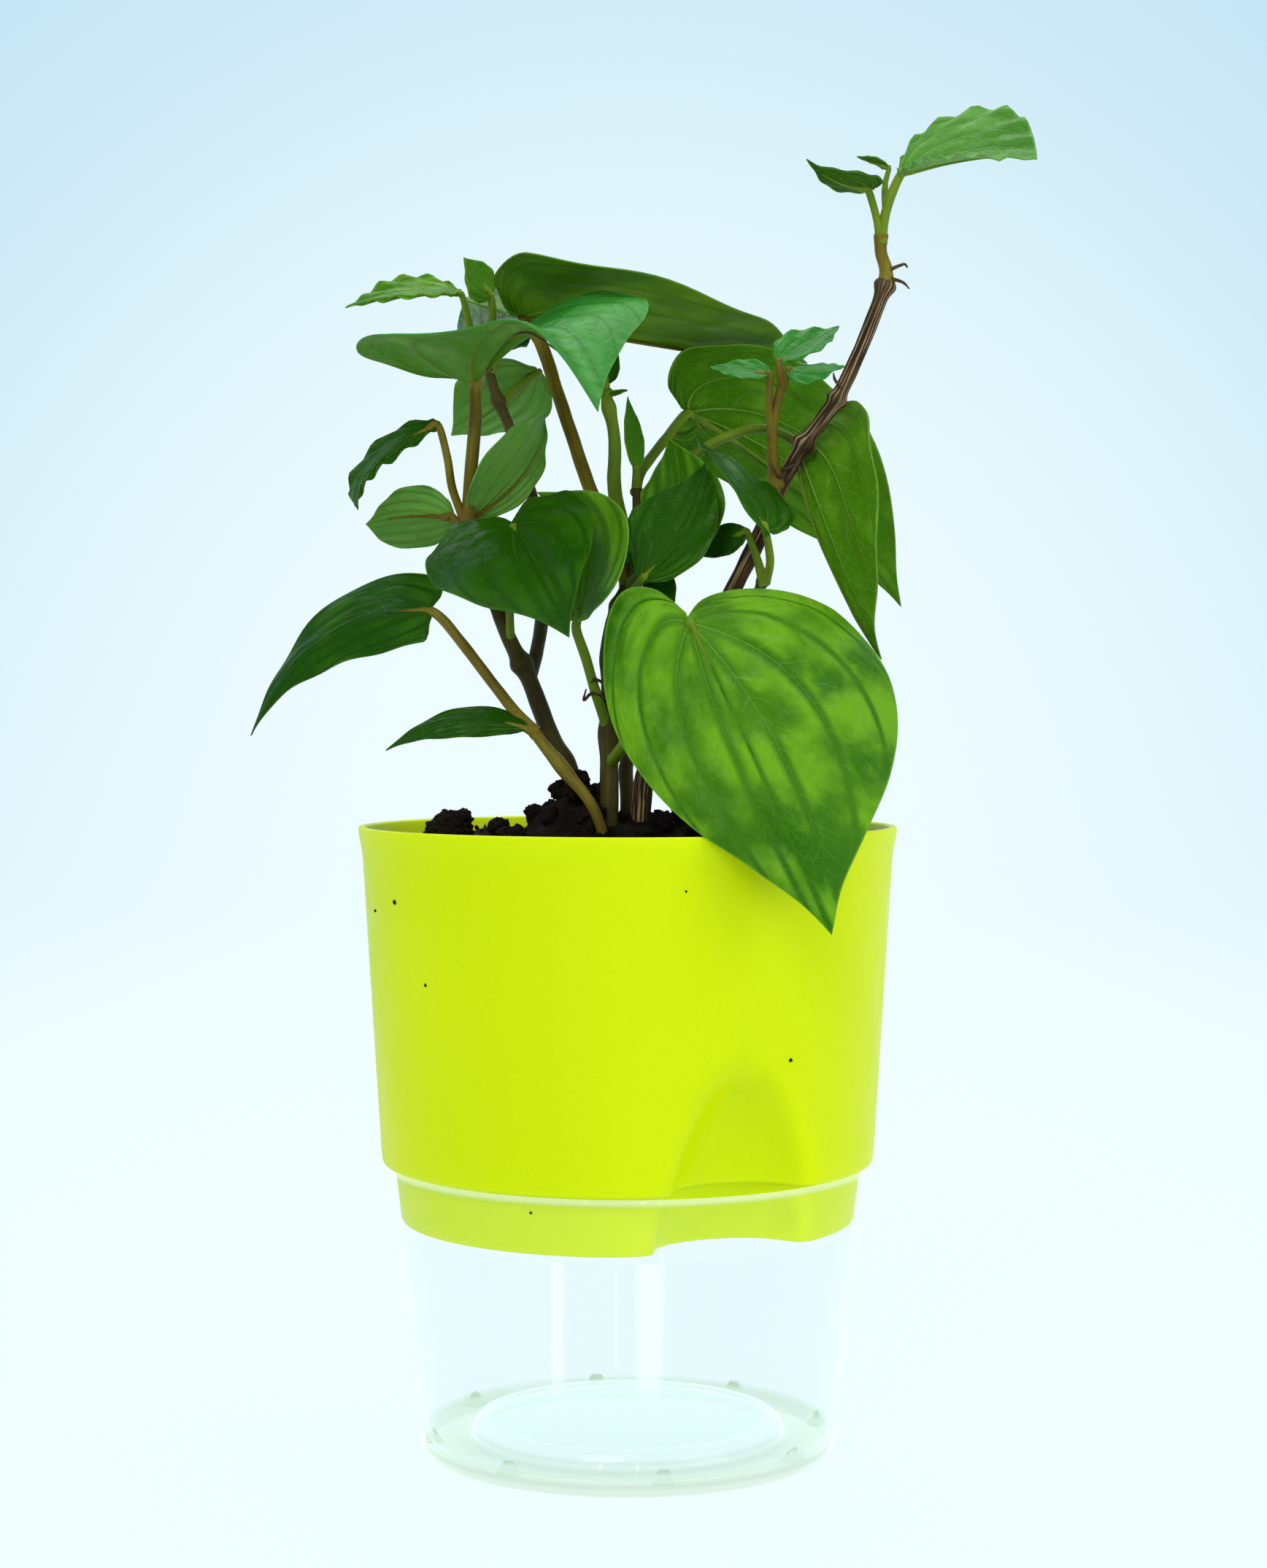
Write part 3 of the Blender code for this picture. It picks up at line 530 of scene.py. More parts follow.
# %% Soil finish
earth, shader, place = new_finish("damp_soil", Specular_IOR_Level=0.1)
grains, lumps = noise_on(place, 700, 6), noise_on(place, 120, 4)
fibres = ease(noise_on(place, 260, 5, (1, 6, 1)), 0.66, 0.74)
feed(shader["Base Color"], blend(
    times(fibres, 0.5),
    blend(ease(lumps, 0.35, 0.7), (0.004, 0.003, 0.0025), (0.014, 0.009, 0.006)),
    (0.055, 0.033, 0.02)))
feed(shader["Roughness"], ease(grains, 0.4, 0.75, 0.98, 0.6))
raise_bumps(shader, plus(grains, lumps), 0.5)
print("soil finish ready")

# %% Soil bed
SOIL_LEVEL, SOIL_R = 134.8, 57.4
BED_RINGS, RING_GAP = 73, 0.78
MOUNDS = (                   # x, y, height and spread of each mound
    (-11, -11, 9, 8.5), (-19, -8, 4, 7), (-3, -10, 6, 22),
    (12, -10, 4, 12), (2, 12, 4, 15), (-27, -30, 2.2, 8),
    (-28, 4, 3.2, 7), (30, 22, 3, 12), (-30, 30, 2.5, 11),
    (28, -30, 1.6, 10), (-22, -20, 2.6, 6),
)


def soil_height(x, y):
    high = SOIL_LEVEL
    for centre_x, centre_y, top, spread in MOUNDS:
        away = ((x - centre_x) ** 2 + (y - centre_y) ** 2) / spread ** 2
        high += top * math.exp(-2 * away)
    high += 1.1 * noise.noise(Vector((x * 0.12, y * 0.12, 3)))
    high += 1.0 * noise.noise(Vector((x * 0.35, y * 0.35, 7)))
    high += 0.6 * noise.noise(Vector((x * 0.9, y * 0.9, 11)))
    return high


rings = [(SOIL_R - step * RING_GAP, SOIL_LEVEL) for step in range(BED_RINGS)]
bed = turned("soil", [(10, 96), (40, 96), (54.8, 96), (56.1, 115), (57.2, 132)] + rings, 200)
for corner in bed.data.vertices:
    x, y, z = corner.co / MM
    if z > SOIL_LEVEL - 0.01:
        edge = min(1.0, (SOIL_R - math.hypot(x, y)) / 3.0)    # flatter beside the wall
        above = (soil_height(x, y) - SOIL_LEVEL) * (0.3 + 0.7 * edge)
        corner.co.z = (SOIL_LEVEL + above) * MM
smooth(bed, 80)
present(bed, earth, "soil")

# %% Clods and crumbs
CLOD_X, CLOD_Y, CLOD_R, CLOD_BITS = -38.5, -20.0, 4.4, 7
CRUMBS, CRUMB_REACH = 420, 55.0
SQUASH = 0.8                 # how flat a lump lies
chance = random.Random(7)


def lump(name, x, y, size, fine, sink=0.35):
    """A rough ball of soil, size in mm, pressed a little into the bed."""
    ball = added(bpy.ops.mesh.primitive_ico_sphere_add, subdivisions=fine, radius=size * MM)
    seed = Vector([chance.uniform(-50, 50) for _ in range(3)])
    for corner in ball.data.vertices:
        way = corner.co.normalized()
        swell = 1 + 0.30 * noise.noise(way * 1.6 + seed) + 0.16 * noise.noise(way * 4 + seed)
        if fine > 3:
            swell += 0.10 * noise.noise(way * 10 + seed) + 0.06 * noise.noise(way * 22 + seed)
        corner.co = way * size * swell * MM
        corner.co.z *= SQUASH
    ball.rotation_euler = [chance.uniform(0, 6) for _ in range(3)]
    ball.location = at_mm(x, y, soil_height(x, y) + size * (SQUASH - sink))
    return settle(ball, name)


clod = joined("loose_clod", [lump("clod_body", CLOD_X, CLOD_Y, 4.9, 6, 0.0)] + [
    lump(f"clod_bit_{number}", CLOD_X + CLOD_R * math.cos(number * 0.9),
         CLOD_Y + CLOD_R * math.sin(number * 0.9), chance.uniform(0.9, 1.8), 4, -0.3)
    for number in range(CLOD_BITS)])
mound_clods = [lump(f"mound_{number}", x, y, size, 5) for number, (x, y, size) in enumerate((
    (-11, -14, 3.6), (-14.5, -10, 2.6), (-8, -18, 3.0), (-17, -14, 2.2), (-6, -11, 2.8),
    (-20, -7, 2.8), (8, -17, 2.6), (12, -12, 3.0), (15, -20, 2.4), (-29, 2, 2.4),
    (-24, -22, 2.0), (4, -24, 2.2), (-26, -32, 2.0), (20, 10, 3.0), (-10, 22, 3.2)))]
crumbs = []
for number in range(CRUMBS):
    turn, far = chance.uniform(0, math.tau), CRUMB_REACH * math.sqrt(chance.random())
    size = 0.45 + 1.1 * chance.random() ** 3
    crumbs.append(lump(f"crumb_{number}", far * math.sin(turn), far * math.cos(turn), size,
                       2 if size > 0.8 else 1))
loose = joined("soil_crumbs", mound_clods + crumbs)
for piece, solid in ((clod, "loose_clod"), (loose, None)):
    smooth(piece, 70)
    present(piece, earth, solid)

# %% [markdown]
# ## Stems
# A betel stem is jointed: slim green or woody lengths between swollen nodes, where leaves
# and short roots grow. Each stem is a grid wrapped round a smooth curve, because the grid's
# own UV map then runs along the stem, so bark streaks can follow its bends. The radius
# swells near each node and noise keeps it from looking like pipe.

# %% A tube along a curve
def curve_through(points, count):
    """count + 1 points on a smooth curve through the given ones."""
    found, last = [], len(points) - 1
    for step in range(count + 1):
        at = step / count * last
        i = min(int(at), last - 1)
        u = at - i
        a, b = Vector(points[max(i - 1, 0)]), Vector(points[i])
        c, d = Vector(points[i + 1]), Vector(points[min(i + 2, last)])
        found.append(0.5 * (2 * b + (c - a) * u + (2 * a - 5 * b + 4 * c - d) * u ** 2
                            + (3 * b - a - 3 * c + d) * u ** 3))
    return found


def grown_tube(name, points, radii, knots, ridges, sides, per_mm):
    """A closed tube; radii run evenly from end to end, knots are (share, extra, spread)."""
    length = sum((Vector(b) - Vector(a)).length for a, b in zip(points, points[1:]))
    steps = max(8, int(length * per_mm))
    centres = curve_through(points, steps)
    side, frames = Vector((0.3, -1, 0.2)), []
    for i in range(steps + 1):
        ahead = (centres[min(i + 1, steps)] - centres[max(i - 1, 0)]).normalized()
        side = (side - ahead * side.dot(ahead)).normalized()
        frames.append((side.copy(), ahead.cross(side)))
    tube = added(bpy.ops.mesh.primitive_grid_add, x_subdivisions=steps,
                 y_subdivisions=sides, size=2)
    tube.data.uv_layers[0].name = "leaf"
    seed = Vector((len(name) * 3.1, length, 5))
    for corner in tube.data.vertices:
        along, turn = (corner.co.x + 1) / 2, (corner.co.y + 1) * math.pi
        i = round(along * steps)
        at = along * (len(radii) - 1)
        j = min(int(at), len(radii) - 2)
        radius = radii[j] + (radii[j + 1] - radii[j]) * (at - j)
        for share, extra, spread in knots:
            radius += extra * math.exp(-((along - share) * length / spread) ** 2)
        side, other = frames[i]
        way = side * math.cos(turn) + other * math.sin(turn)
        grain = noise.noise(centres[i] * 0.25 + way * 0.8 + seed)
        radius *= 1 + 0.07 * grain
        if ridges:
            stretched = Vector((along * length * 0.06, 0, 0))
            radius += ridges * noise.noise(stretched + way * 3.4 + seed)
        corner.co = (centres[i] + way * radius) * MM
    close_tube(tube)
    settle(tube, name)
    smooth(tube, 60)
    return tube


print("tube helper ready")

# %% Bark and green stem finishes
def stem_finish(name, dark, light, streak, streaks, depth, gloss):
    """Streaks run along the stem, which is the first direction of its UV map."""
    material, shader, place = new_finish(name, Specular_IOR_Level=0.15)
    uv = node("UVMap", uv_map="leaf").outputs[0]
    grain = noise_on(uv, 1.0, 5, (7, 22, 1))
    fine = noise_on(uv, 1.0, 3, (26, 60, 1))
    base = blend(ease(noise_on(place, 60, 3), 0.35, 0.65), dark, light)
    marks = times(ease(grain, 0.50, 0.62), streaks)
    feed(shader["Base Color"], blend(marks, base, streak))
    feed(shader["Roughness"], ease(fine, 0.3, 0.7, gloss - 0.1, gloss + 0.1))
    raise_bumps(shader, plus(grain, fine), depth)
    return material


bark = stem_finish("woody_bark", (0.028, 0.014, 0.006), (0.085, 0.048, 0.020),
                   (0.42, 0.30, 0.16), 0.95, 0.35, 0.75)
olive = stem_finish("olive_stem", (0.035, 0.028, 0.004), (0.085, 0.075, 0.010),
                         (0.04, 0.014, 0.006), 0.6, 0.12, 0.45)
green = stem_finish("green_stem", (0.10, 0.18, 0.004), (0.17, 0.27, 0.015),
                         (0.08, 0.11, 0.005), 0.35, 0.08, 0.42)
rust = stem_finish("rusty_stem", (0.12, 0.085, 0.005), (0.21, 0.17, 0.012),
                        (0.10, 0.045, 0.006), 0.5, 0.08, 0.42)
print("stem finishes ready")

# %% Stems that stand in the soil and their branches
STEMS = (    # name, finish, ridges, radii, knots, points
    ("woody_vine", bark, 0.22, (2.3, 2.1, 1.9, 1.8, 1.7, 1.6, 1.5),
     ((0.30, 0.3, 3), (0.655, 1.3, 2.2), (0.80, 0.9, 2.0), (0.985, 1.1, 1.6)),
     ((3, -13, 130), (3, -13, 143), (5, -12, 154), (14, -9, 173), (24, -7, 193),
      (30, -6, 205), (34, -5, 215), (38, -5, 222), (43, -5, 229), (47, -5, 235),
      (52, -5, 246), (57.5, -5, 260))),
    ("crown_shoot", rust, 0, (1.6, 1.4, 1.3), ((0.1, 0.5, 1.5), (0.95, 0.3, 1.5)),
     ((57, -5, 257), (57, -5, 262), (56, -4, 266), (56, -4, 270))),
    ("side_shoot", rust, 0, (1.5, 1.2, 0.9), ((0.05, 0.8, 2),),
     ((33, -5, 214), (32, -7, 221), (32, -9, 228), (34, -12, 237))),
    ("middle_stem", olive, 0.06, (2.1, 2.0, 1.7, 1.2, 0.9),
     ((0.30, 0.6, 2.2), (0.45, 0.4, 2.2), (0.62, 0.7, 2.0), (0.80, 0.5, 1.6)),
     ((-4, -16, 130), (-4, -16, 143), (-4, -15, 154), (-4, -14, 168), (-4, -12, 180),
      (-2, -10, 188), (1, -8, 196), (2, -7, 206), (2, -6, 215))),
    ("bud_shoot", green, 0, (1.5, 1.7, 1.5, 1.1), ((0.9, 0.5, 2),),
     ((1, -8, 198), (-1, 1, 205), (-3, 6, 215), (-3, 6, 226), (-5, 4, 236))),
    ("left_stem", olive, 0.08, (2.2, 2.1, 1.9, 1.6, 1.4),
     ((0.56, 0.9, 3.0), (0.97, 0.6, 2.5), (0.25, 0.4, 3)),
     ((-10, -4, 130), (-12, -4, 148), (-17, -4, 159), (-22, -4, 172), (-26, -4, 180),
      (-30, -2, 190), (-36, 2, 207))),
    ("left_branch", olive, 0.05, (1.6, 1.5, 1.3, 1.1), ((0.82, 0.5, 2), (1, 0.5, 2)),
     ((-22, -4, 171), (-20, 3, 180), (-19, 13, 192), (-20, 21, 205), (-23, 26, 217),
      (-27, 28, 229), (-31, 27, 239), (-33, 24, 248))),
    ("front_shoot", rust, 0.05, (1.0, 1.2, 1.3, 1.3, 1.2), ((0.55, 0.4, 4),),
     ((-3, -25, 130), (-7, -23, 143), (-13, -19, 151), (-18, -17, 157),
      (-21, -16, 161))),
    ("back_stem", olive, 0.05, (1.7, 1.6, 1.3, 1.0), ((0.97, 0.5, 2),),
     ((0, -2, 130), (0, -3, 143), (0, -1, 154), (5, 3, 162), (12, 5, 173),
      (21, 2, 182), (27, -6, 188), (30, -13, 194))),
)
for name, finish, ridges, radii, knots, points in STEMS:
    stem = grown_tube(name, points, radii, knots, ridges, 24, 1.6)
    present(stem, finish, name)

# %% [markdown]
# ## Leaf skin
# A betel leaf has five to seven main veins that start together where the stalk joins and
# curve towards the tip, fine ladder veins between them, and a thin pale edge. The finish
# draws these from the blade's UV map, which holds how far out a point is (0 at the stalk, 1
# at the edge) and its turn round the outline, and from two attributes that hold the
# blade's real reach and width in millimetres, so that a vein is as thick on a small leaf
# as on a big one. The upper side is dark and glossy; the underside is pale and soft.

# %% Leaf finish
VEIN_TURNS = (1.0, 0.80, 0.55, 0.22, -0.25)     # where the veins leave the stalk
VEIN_CURVE = (0.62, 1.5)                        # how strongly they turn to the tip


def leaf_finish(name, under, gloss, dark, light, vein):
    material, shader, place = new_finish(
        name, Subsurface_Weight=0.05, Subsurface_Radius=(0.4, 1.0, 0.1),
        Subsurface_Scale=0.001, Specular_IOR_Level=0.05 if under else 0.14,
        Specular_Tint=(0.75, 1.0, 0.55))
    uv = node("UVMap", uv_map="leaf").outputs[0]
    out, turn, _ = node("SeparateXYZ", {"Vector": uv}).outputs
    share = minus(1.0, calc("ABSOLUTE", minus(times(turn, 2.0), 1.0)))
    pull = times(calc("POWER", out, VEIN_CURVE[1]), VEIN_CURVE[0])
    rest = minus(1.0, pull)
    ray = calc("DIVIDE", minus(share, pull), rest)
    width = node("Attribute", attribute_name="width_mm").outputs["Fac"]
    reach = node("Attribute", attribute_name="reach_mm").outputs["Fac"]
    gaps = [calc("ABSOLUTE", minus(ray, start)) for start in VEIN_TURNS]
    near = gaps[0]
    for gap in gaps[1:]:
        near = calc("MINIMUM", near, gap)
    away = times(near, times(times(out, width), rest))
    thick = calc("MULTIPLY_ADD", out, -0.32, 0.46)
    veins = ease(calc("DIVIDE", away, thick), 0.45, 1.25, 1.0, 0.0)
    wobble = noise_on(place, 110, 2)
    rung = calc("MULTIPLY_ADD", wobble, 1.3, times(
        calc("MULTIPLY_ADD", away, -0.85, times(out, reach)), 0.17))
    ladder = ease(calc("ABSOLUTE", minus(calc("FRACT", rung), 0.5)), 0.44, 0.49)
    net = node("TexVoronoi", {"Vector": place, "Scale": 480.0},
               feature="DISTANCE_TO_EDGE").outputs["Distance"]
    net = ease(net, 0.0, 0.10, 1.0, 0.0)
    patches = ease(noise_on(place, 75, 3), 0.38, 0.66)
    slow = ease(noise_on(place, 28, 2), 0.3, 0.7, 0.0, 0.35)
    # Painted shade and light: the blade is darker along the main veins and lighter in patches
    # between them, as light falls on the quilted skin.
    colour = blend(times(ease(away, 0.4, 3.2), patches), dark, light)
    colour = blend(slow, colour, dark if under else light)
    colour = blend(times(ladder, 0.22), colour, vein)
    colour = blend(times(net, 0.10), colour, vein)
    colour = blend(times(veins, 0.75 if under else 0.42), colour, vein)
    edge = ease(times(minus(1.0, out), reach), 0.25, 0.55, 0.55, 0.0)
    feed(shader["Base Color"], blend(edge, colour, vein))
    feed(shader["Roughness"], ease(wobble, 0.3, 0.7, gloss - 0.07, gloss + 0.07))
    lines = plus(veins, times(ladder, 0.35))
    dimples = calc("MULTIPLY_ADD", noise_on(place, 260, 2), 1.6, times(patches, 0.5))
    height = calc("MULTIPLY_ADD", lines, 0.8 if under else -0.5, dimples)
    raise_bumps(shader, calc("MULTIPLY_ADD", net, -0.06, height), 0.35)
    return material


SKINS = {}                   # upper side and underside of each kind of leaf
for kind, gloss, upper, lower in (    # colours: dark, light and vein
        ("bright", 0.42, ((0.018, 0.112, 0.0), (0.125, 0.32, 0.006), (0.12, 0.31, 0.02)),
         ((0.05, 0.17, 0.002), (0.11, 0.28, 0.012), (0.22, 0.38, 0.06))),
        ("dark", 0.38, ((0.006, 0.055, 0.0), (0.022, 0.105, 0.001), (0.035, 0.13, 0.004)),
         ((0.03, 0.10, 0.003), (0.06, 0.16, 0.01), (0.11, 0.22, 0.03))),
        ("teal", 0.40, ((0.018, 0.16, 0.014), (0.04, 0.24, 0.03), (0.05, 0.25, 0.035)),
         ((0.06, 0.20, 0.008), (0.12, 0.29, 0.025), (0.16, 0.18, 0.012))),
        ("olive", 0.42, ((0.03, 0.12, 0.002), (0.07, 0.18, 0.006), (0.12, 0.24, 0.02)),
         ((0.060, 0.165, 0.001), (0.12, 0.245, 0.006), (0.15, 0.27, 0.02))),
        ("pale", 0.42, ((0.06, 0.22, 0.02), (0.12, 0.32, 0.06), (0.16, 0.36, 0.08)),
         ((0.11, 0.30, 0.04), (0.20, 0.42, 0.11), (0.17, 0.30, 0.05)))):
    SKINS[kind] = (leaf_finish(f"leaf_{kind}_upper", False, gloss, *upper),
                   leaf_finish(f"leaf_{kind}_under", True, 0.6, *lower))
SKINS["shaded"] = (SKINS["dark"][0], SKINS["dark"][0])
print(len(SKINS), "leaf skins ready")

# %% [markdown]
# ## Leaf blades
# A blade is a grid folded into a fan: one side of the grid is gathered where the stalk
# joins, the other runs round the heart-shaped outline. Each point of the flat outline is
# then bent into space: the midrib arches and sweeps, each half is lifted or dropped, the
# edge waves, and the skin bulges between the veins. Solidify gives it thickness, with
# the underside's finish on the other side. The stalk is a tube that runs on under the
# blade as its midrib. Each leaf below gives its skin, its stalk's finish, points and
# radii, then its outline, joint, tip, the way its upper side faces and its half widths.

# %% Outlines and the bent blade
HEART = ((-0.03, 0.0), (-0.12, 0.14), (-0.15, 0.42), (-0.09, 0.68), (0.05, 0.92),
         (0.22, 1.0), (0.40, 0.92), (0.58, 0.70), (0.74, 0.41), (0.88, 0.15), (1.0, 0.0))
OVATE = ((-0.01, 0.0), (0.0, 0.17), (0.06, 0.50), (0.18, 0.85), (0.36, 1.0),
         (0.55, 0.89), (0.72, 0.60), (0.87, 0.25), (1.0, 0.0))


def between(points, share):
    """The point at this share of the way along evenly numbered ones."""
    at = share * (len(points) - 1)
    i = min(int(at), len(points) - 2)
    return points[i].lerp(points[i + 1], at - i)


class Blade:
    """The bent surface of a leaf; x runs from joint to tip, y across, in blade lengths."""

    def __init__(self, outline, joint, tip, face, width, lobes=(1, 1), fold=(0, 0),
                 arch=0, sweep=0, cup=0, twist=0, waves=0.3, wave_count=5):
        self.joint = Vector(joint)
        chord = Vector(tip) - self.joint
        self.length = chord.length
        self.along = chord.normalized()
        self.across = Vector(face).cross(self.along).normalized()
        self.up = self.along.cross(self.across)
        self.outline, self.width, self.lobes = outline, width, lobes
        self.fold, self.arch, self.sweep, self.cup = fold, arch, sweep, cup
        self.twist, self.waves, self.wave_count = twist, waves, wave_count

    def middle(self, x):
        """The midrib at x, from the joint and in blade lengths."""
        bow = self.up * self.arch + self.across * self.sweep
        return self.along * x + bow * 4 * x * (1 - x)

    def ways(self, x):
        """The directions across and up at x."""
        ahead = (self.middle(x + 0.01) - self.middle(x - 0.01)).normalized()
        up = ahead.cross(self.across).normalized()
        across = up.cross(ahead)
        turn = self.twist * max(x, 0)
        return (across * math.cos(turn) + up * math.sin(turn),
                up * math.cos(turn) - across * math.sin(turn))

    def place(self, x, y, raised=0.0):
        """A point of the blade in mm; raised lifts it off the surface, in mm."""
        across, up = self.ways(x)
        side = y > 0
        share = abs(y) / (2 * self.width[side])
        lift = self.fold[side] * (1 - math.exp(-abs(y) * self.length / 1.5)) + self.cup * share
        out = across * y * math.cos(lift) + up * abs(y) * math.sin(lift)
        return self.joint + (self.middle(x) + out) * self.length + up * raised

    def rib(self, out, share, half, edge, raised):
        """A point on the rib that leaves the joint for the margin; out runs from 0 to 1."""
        return self.place(edge[0] * out, edge[1] * out, raised)


class SpreadBlade(Blade):
    """A blade that no simple bend gives. Each side lists, from notch to tip, the halfway
    point and the end of a rib, and the ribs between them are eased in."""

    def __init__(self, *shape, sides, **more):
        super().__init__(*shape, **more)
        self.ribs = [[curve_through(points, 80) for points in zip(*side)] for side in sides]

    def rib(self, out, share, half, edge, raised):
        halfway, end = (between(line, share) for line in self.ribs[half])
        pull = 2 * halfway - (self.joint + end) / 2
        return (self.joint * (1 - out) ** 2 + pull * 2 * out * (1 - out) + end * out ** 2
                + self.up * raised)

    def place(self, x, y, raised=0.0):
        """A point of the midrib, which is the rib that ends at the tip."""
        return self.rib(x, 1.0, 0, None, raised)


def flat_edge(blade, points, half, share):
    """The flat outline's point, share 0 at the notch and 1 at the tip."""
    x, y, _ = between(points, share)
    if x < 0:
        x *= blade.lobes[half]
    return x, y * blade.width[half] * (1 if half else -1)


print("outlines ready")

# %% Making one leaf
THICKNESS = 0.32             # of a blade, in mm
BULGE, BULGE_GAP = 0.008, 4.5          # the skin's swell between veins this far apart
MIDRIB_THIN = 0.16           # radius of the midrib's end
UNDER_BLADE = (0.06, 0.16, 0.3, 0.5, 0.72)     # where the midrib runs on under the blade


def leaf(name, skin, stalk_finish, stalk, radii, *shape, **more):
    """Models blade and stalk, joins them and lets the piece stand for its solid."""
    blade = (SpreadBlade if "sides" in more else Blade)(*shape, **more)
    long = blade.length
    # a big leaf gets a finer grid
    rings, rays = (36, 54) if long > 40 else (26, 40) if long > 22 else (16, 26)
    outline = curve_through([(*p, 0) for p in blade.outline], 160)
    sheet = added(bpy.ops.mesh.primitive_grid_add, x_subdivisions=rings,
                  y_subdivisions=2 * rays, size=2)
    mesh = sheet.data
    mesh.uv_layers[0].name = "leaf"
    reach = mesh.attributes.new("reach_mm", "FLOAT", "POINT")
    wide = mesh.attributes.new("width_mm", "FLOAT", "POINT")
    seed = Vector((len(name) * 1.7, long * 0.3, radii[0]))
    edges = {}
    for turn in range(2 * rays + 1):
        half = 0 if turn <= rays else 1
        share = (turn if half == 0 else 2 * rays - turn) / rays
        x, y = flat_edge(blade, outline, half, share)
        before = flat_edge(blade, outline, half, max(share - 0.02, 0))
        after = flat_edge(blade, outline, half, min(share + 0.02, 1))
        step = math.dist(before, after) / (min(share + 0.02, 1) - max(share - 0.02, 0))
        edges[turn] = x, y, share, step * long, math.hypot(x, y) * long
    bulge, curve, power = BULGE * long * sum(blade.width), *VEIN_CURVE
    for corner in mesh.vertices:
        out, turn = (corner.co.x + 1) / 2, round((corner.co.y + 1) * rays)
        x, y, share, step, far = edges[turn]
        pull = curve * out ** power
        ray = (share - pull) / (1 - pull)
        vein_gap = min(abs(ray - start) for start in VEIN_TURNS) * step * out * (1 - pull)
        raised = bulge * min(1.0, vein_gap / BULGE_GAP) ** 0.7 * min(1, 4 * out * (1.02 - out))
        shift = 3 * noise.noise(seed + Vector((x, y, 0)) * 6)
        quilting = math.sin(out * far / 2.1 - vein_gap * 0.5 + shift)
        raised += 0.005 * long * quilting * min(1.0, vein_gap / 3) * out * (1 - out) * 3
        wave = math.sin(math.tau * blade.wave_count * share + seed.x + (2 if turn > rays else 0))
        wave += 0.8 * noise.noise(Vector((turn * 0.16, seed.x, 0)))
        raised += blade.waves * 0.03 * long * wave * out ** 4 * min(1, 5 * (1 - share))
        corner.co = blade.rib(out, share, int(turn > rays), (x, y), raised) * MM
        reach.data[corner.index].value = far
        wide.data[corner.index].value = step
    with editing(sheet):
        bpy.ops.mesh.remove_doubles(threshold=MERGE * MM)
    facing = sum(face.normal.dot(blade.up) * face.area for face in mesh.polygons)
    if facing < 0:
        mesh.flip_normals()
    for material in SKINS[skin]:
        mesh.materials.append(material)
    solid = sheet.modifiers.new("thickness", "SOLIDIFY")
    solid.thickness = THICKNESS * MM
    solid.offset = 0
    solid.material_offset = 1
    apply_modifiers(sheet)
    smooth(sheet, 80)
    root = radii[-1]
    path = [*stalk, blade.place(0, 0, -0.35 * root)]
    path += [blade.place(x, 0, -THICKNESS / 2 - 0.15 * root) for x in UNDER_BLADE]
    lengths = [(Vector(b) - Vector(a)).length for a, b in zip(path, path[1:])]
    stalk_share = sum(lengths[:len(stalk)]) / sum(lengths)
    profile = []
    for step in range(21):
        share = step / 20
        if share < stalk_share:
            profile.append(radii[0] + (radii[-1] - radii[0]) * share / stalk_share)
        else:
            fade = (share - stalk_share) / (1 - stalk_share)
            profile.append(MIDRIB_THIN + (0.75 * root - MIDRIB_THIN) * (1 - fade) ** 1.3)
    tube = grown_tube(name + "_stalk", path, profile,
                      ((0.0, 0.35, 2.0), (stalk_share, 0.2, 1.5)), 0, 14, 1.2)
    tube.data.materials.append(stalk_finish)
    present(joined(name, [sheet, tube]), None, name)


print("leaf maker ready")

# %% Leaves in front
leaf("front_heart_leaf", "bright", green,
     ((-4, -15, 153), (-1, -21, 157), (5, -32, 165), (11, -39, 177)), (1.4, 1.2, 1.1), HEART,
     (13, -42, 183), (41, -68, 120), (1, -9, 4), (0.32, 0.61), lobes=(1.2, 0.6),
     fold=(-0.2, -0.28), arch=0.02, cup=-0.3, waves=0.15)
leaf("left_heart_leaf", "dark", green,
     ((-26, -4, 180), (-26, -7, 186), (-26, -9, 194), (-26, -11, 201)), (1.0, 0.9, 0.8), HEART,
     (-25, -14, 205), (-12, -48, 180), (-2, -6, 7), (0.49, 0.37), lobes=(1.4, 0.9),
     fold=(0.18, 0.34), arch=0.05, cup=-0.3, waves=0.35)
leaf("second_heart_leaf", "bright", green,
     ((-4, -15, 160), (-7, -17, 169), (-9, -18, 176), (-11, -19, 182)), (1.2, 1.1, 1.0), HEART,
     (-11, -20, 185), (-20, -6, 213), (-6, -7, 2), (0.55, 0.50), lobes=(0.3, 0.3),
     fold=(0.34, 0), arch=-0.1, sweep=-0.19)
leaf("dark_middle_leaf", "dark", green, ((-3, -11, 183), (-1, -16, 187), (1, -20, 190)),
     (1.1, 1.0, 0.9), OVATE, (3, -24, 193), (17, -12, 219), (-1, -9, 5), (0.26, 0.35),
     fold=(0.19, 0.23), sweep=-0.08, waves=0.5)
leaf("small_dark_leaf", "dark", green, ((0, -9, 192), (3, -14, 195)), (0.8, 0.7), OVATE,
     (5, -18, 195), (10, -22, 186), (-2, -9, -2), (0.35, 0.35))
leaf("bright_middle_leaf", "bright", green, ((1, -8, 198),), (0.9, 0.7), OVATE,
     (7, -11, 198), (9, -4, 225), (-3, -9, 3), (0.46, 0.31), fold=(0.21, 0.08), sweep=-0.09,
     waves=0.5)
leaf("spear_leaf", "bright", green, ((2, -6, 214),), (0.8, 0.7), OVATE, (2, -7, 218),
     (0, -7, 234), (4, -9, 0), (0.15, 0.15), fold=(0.4, 0.4))

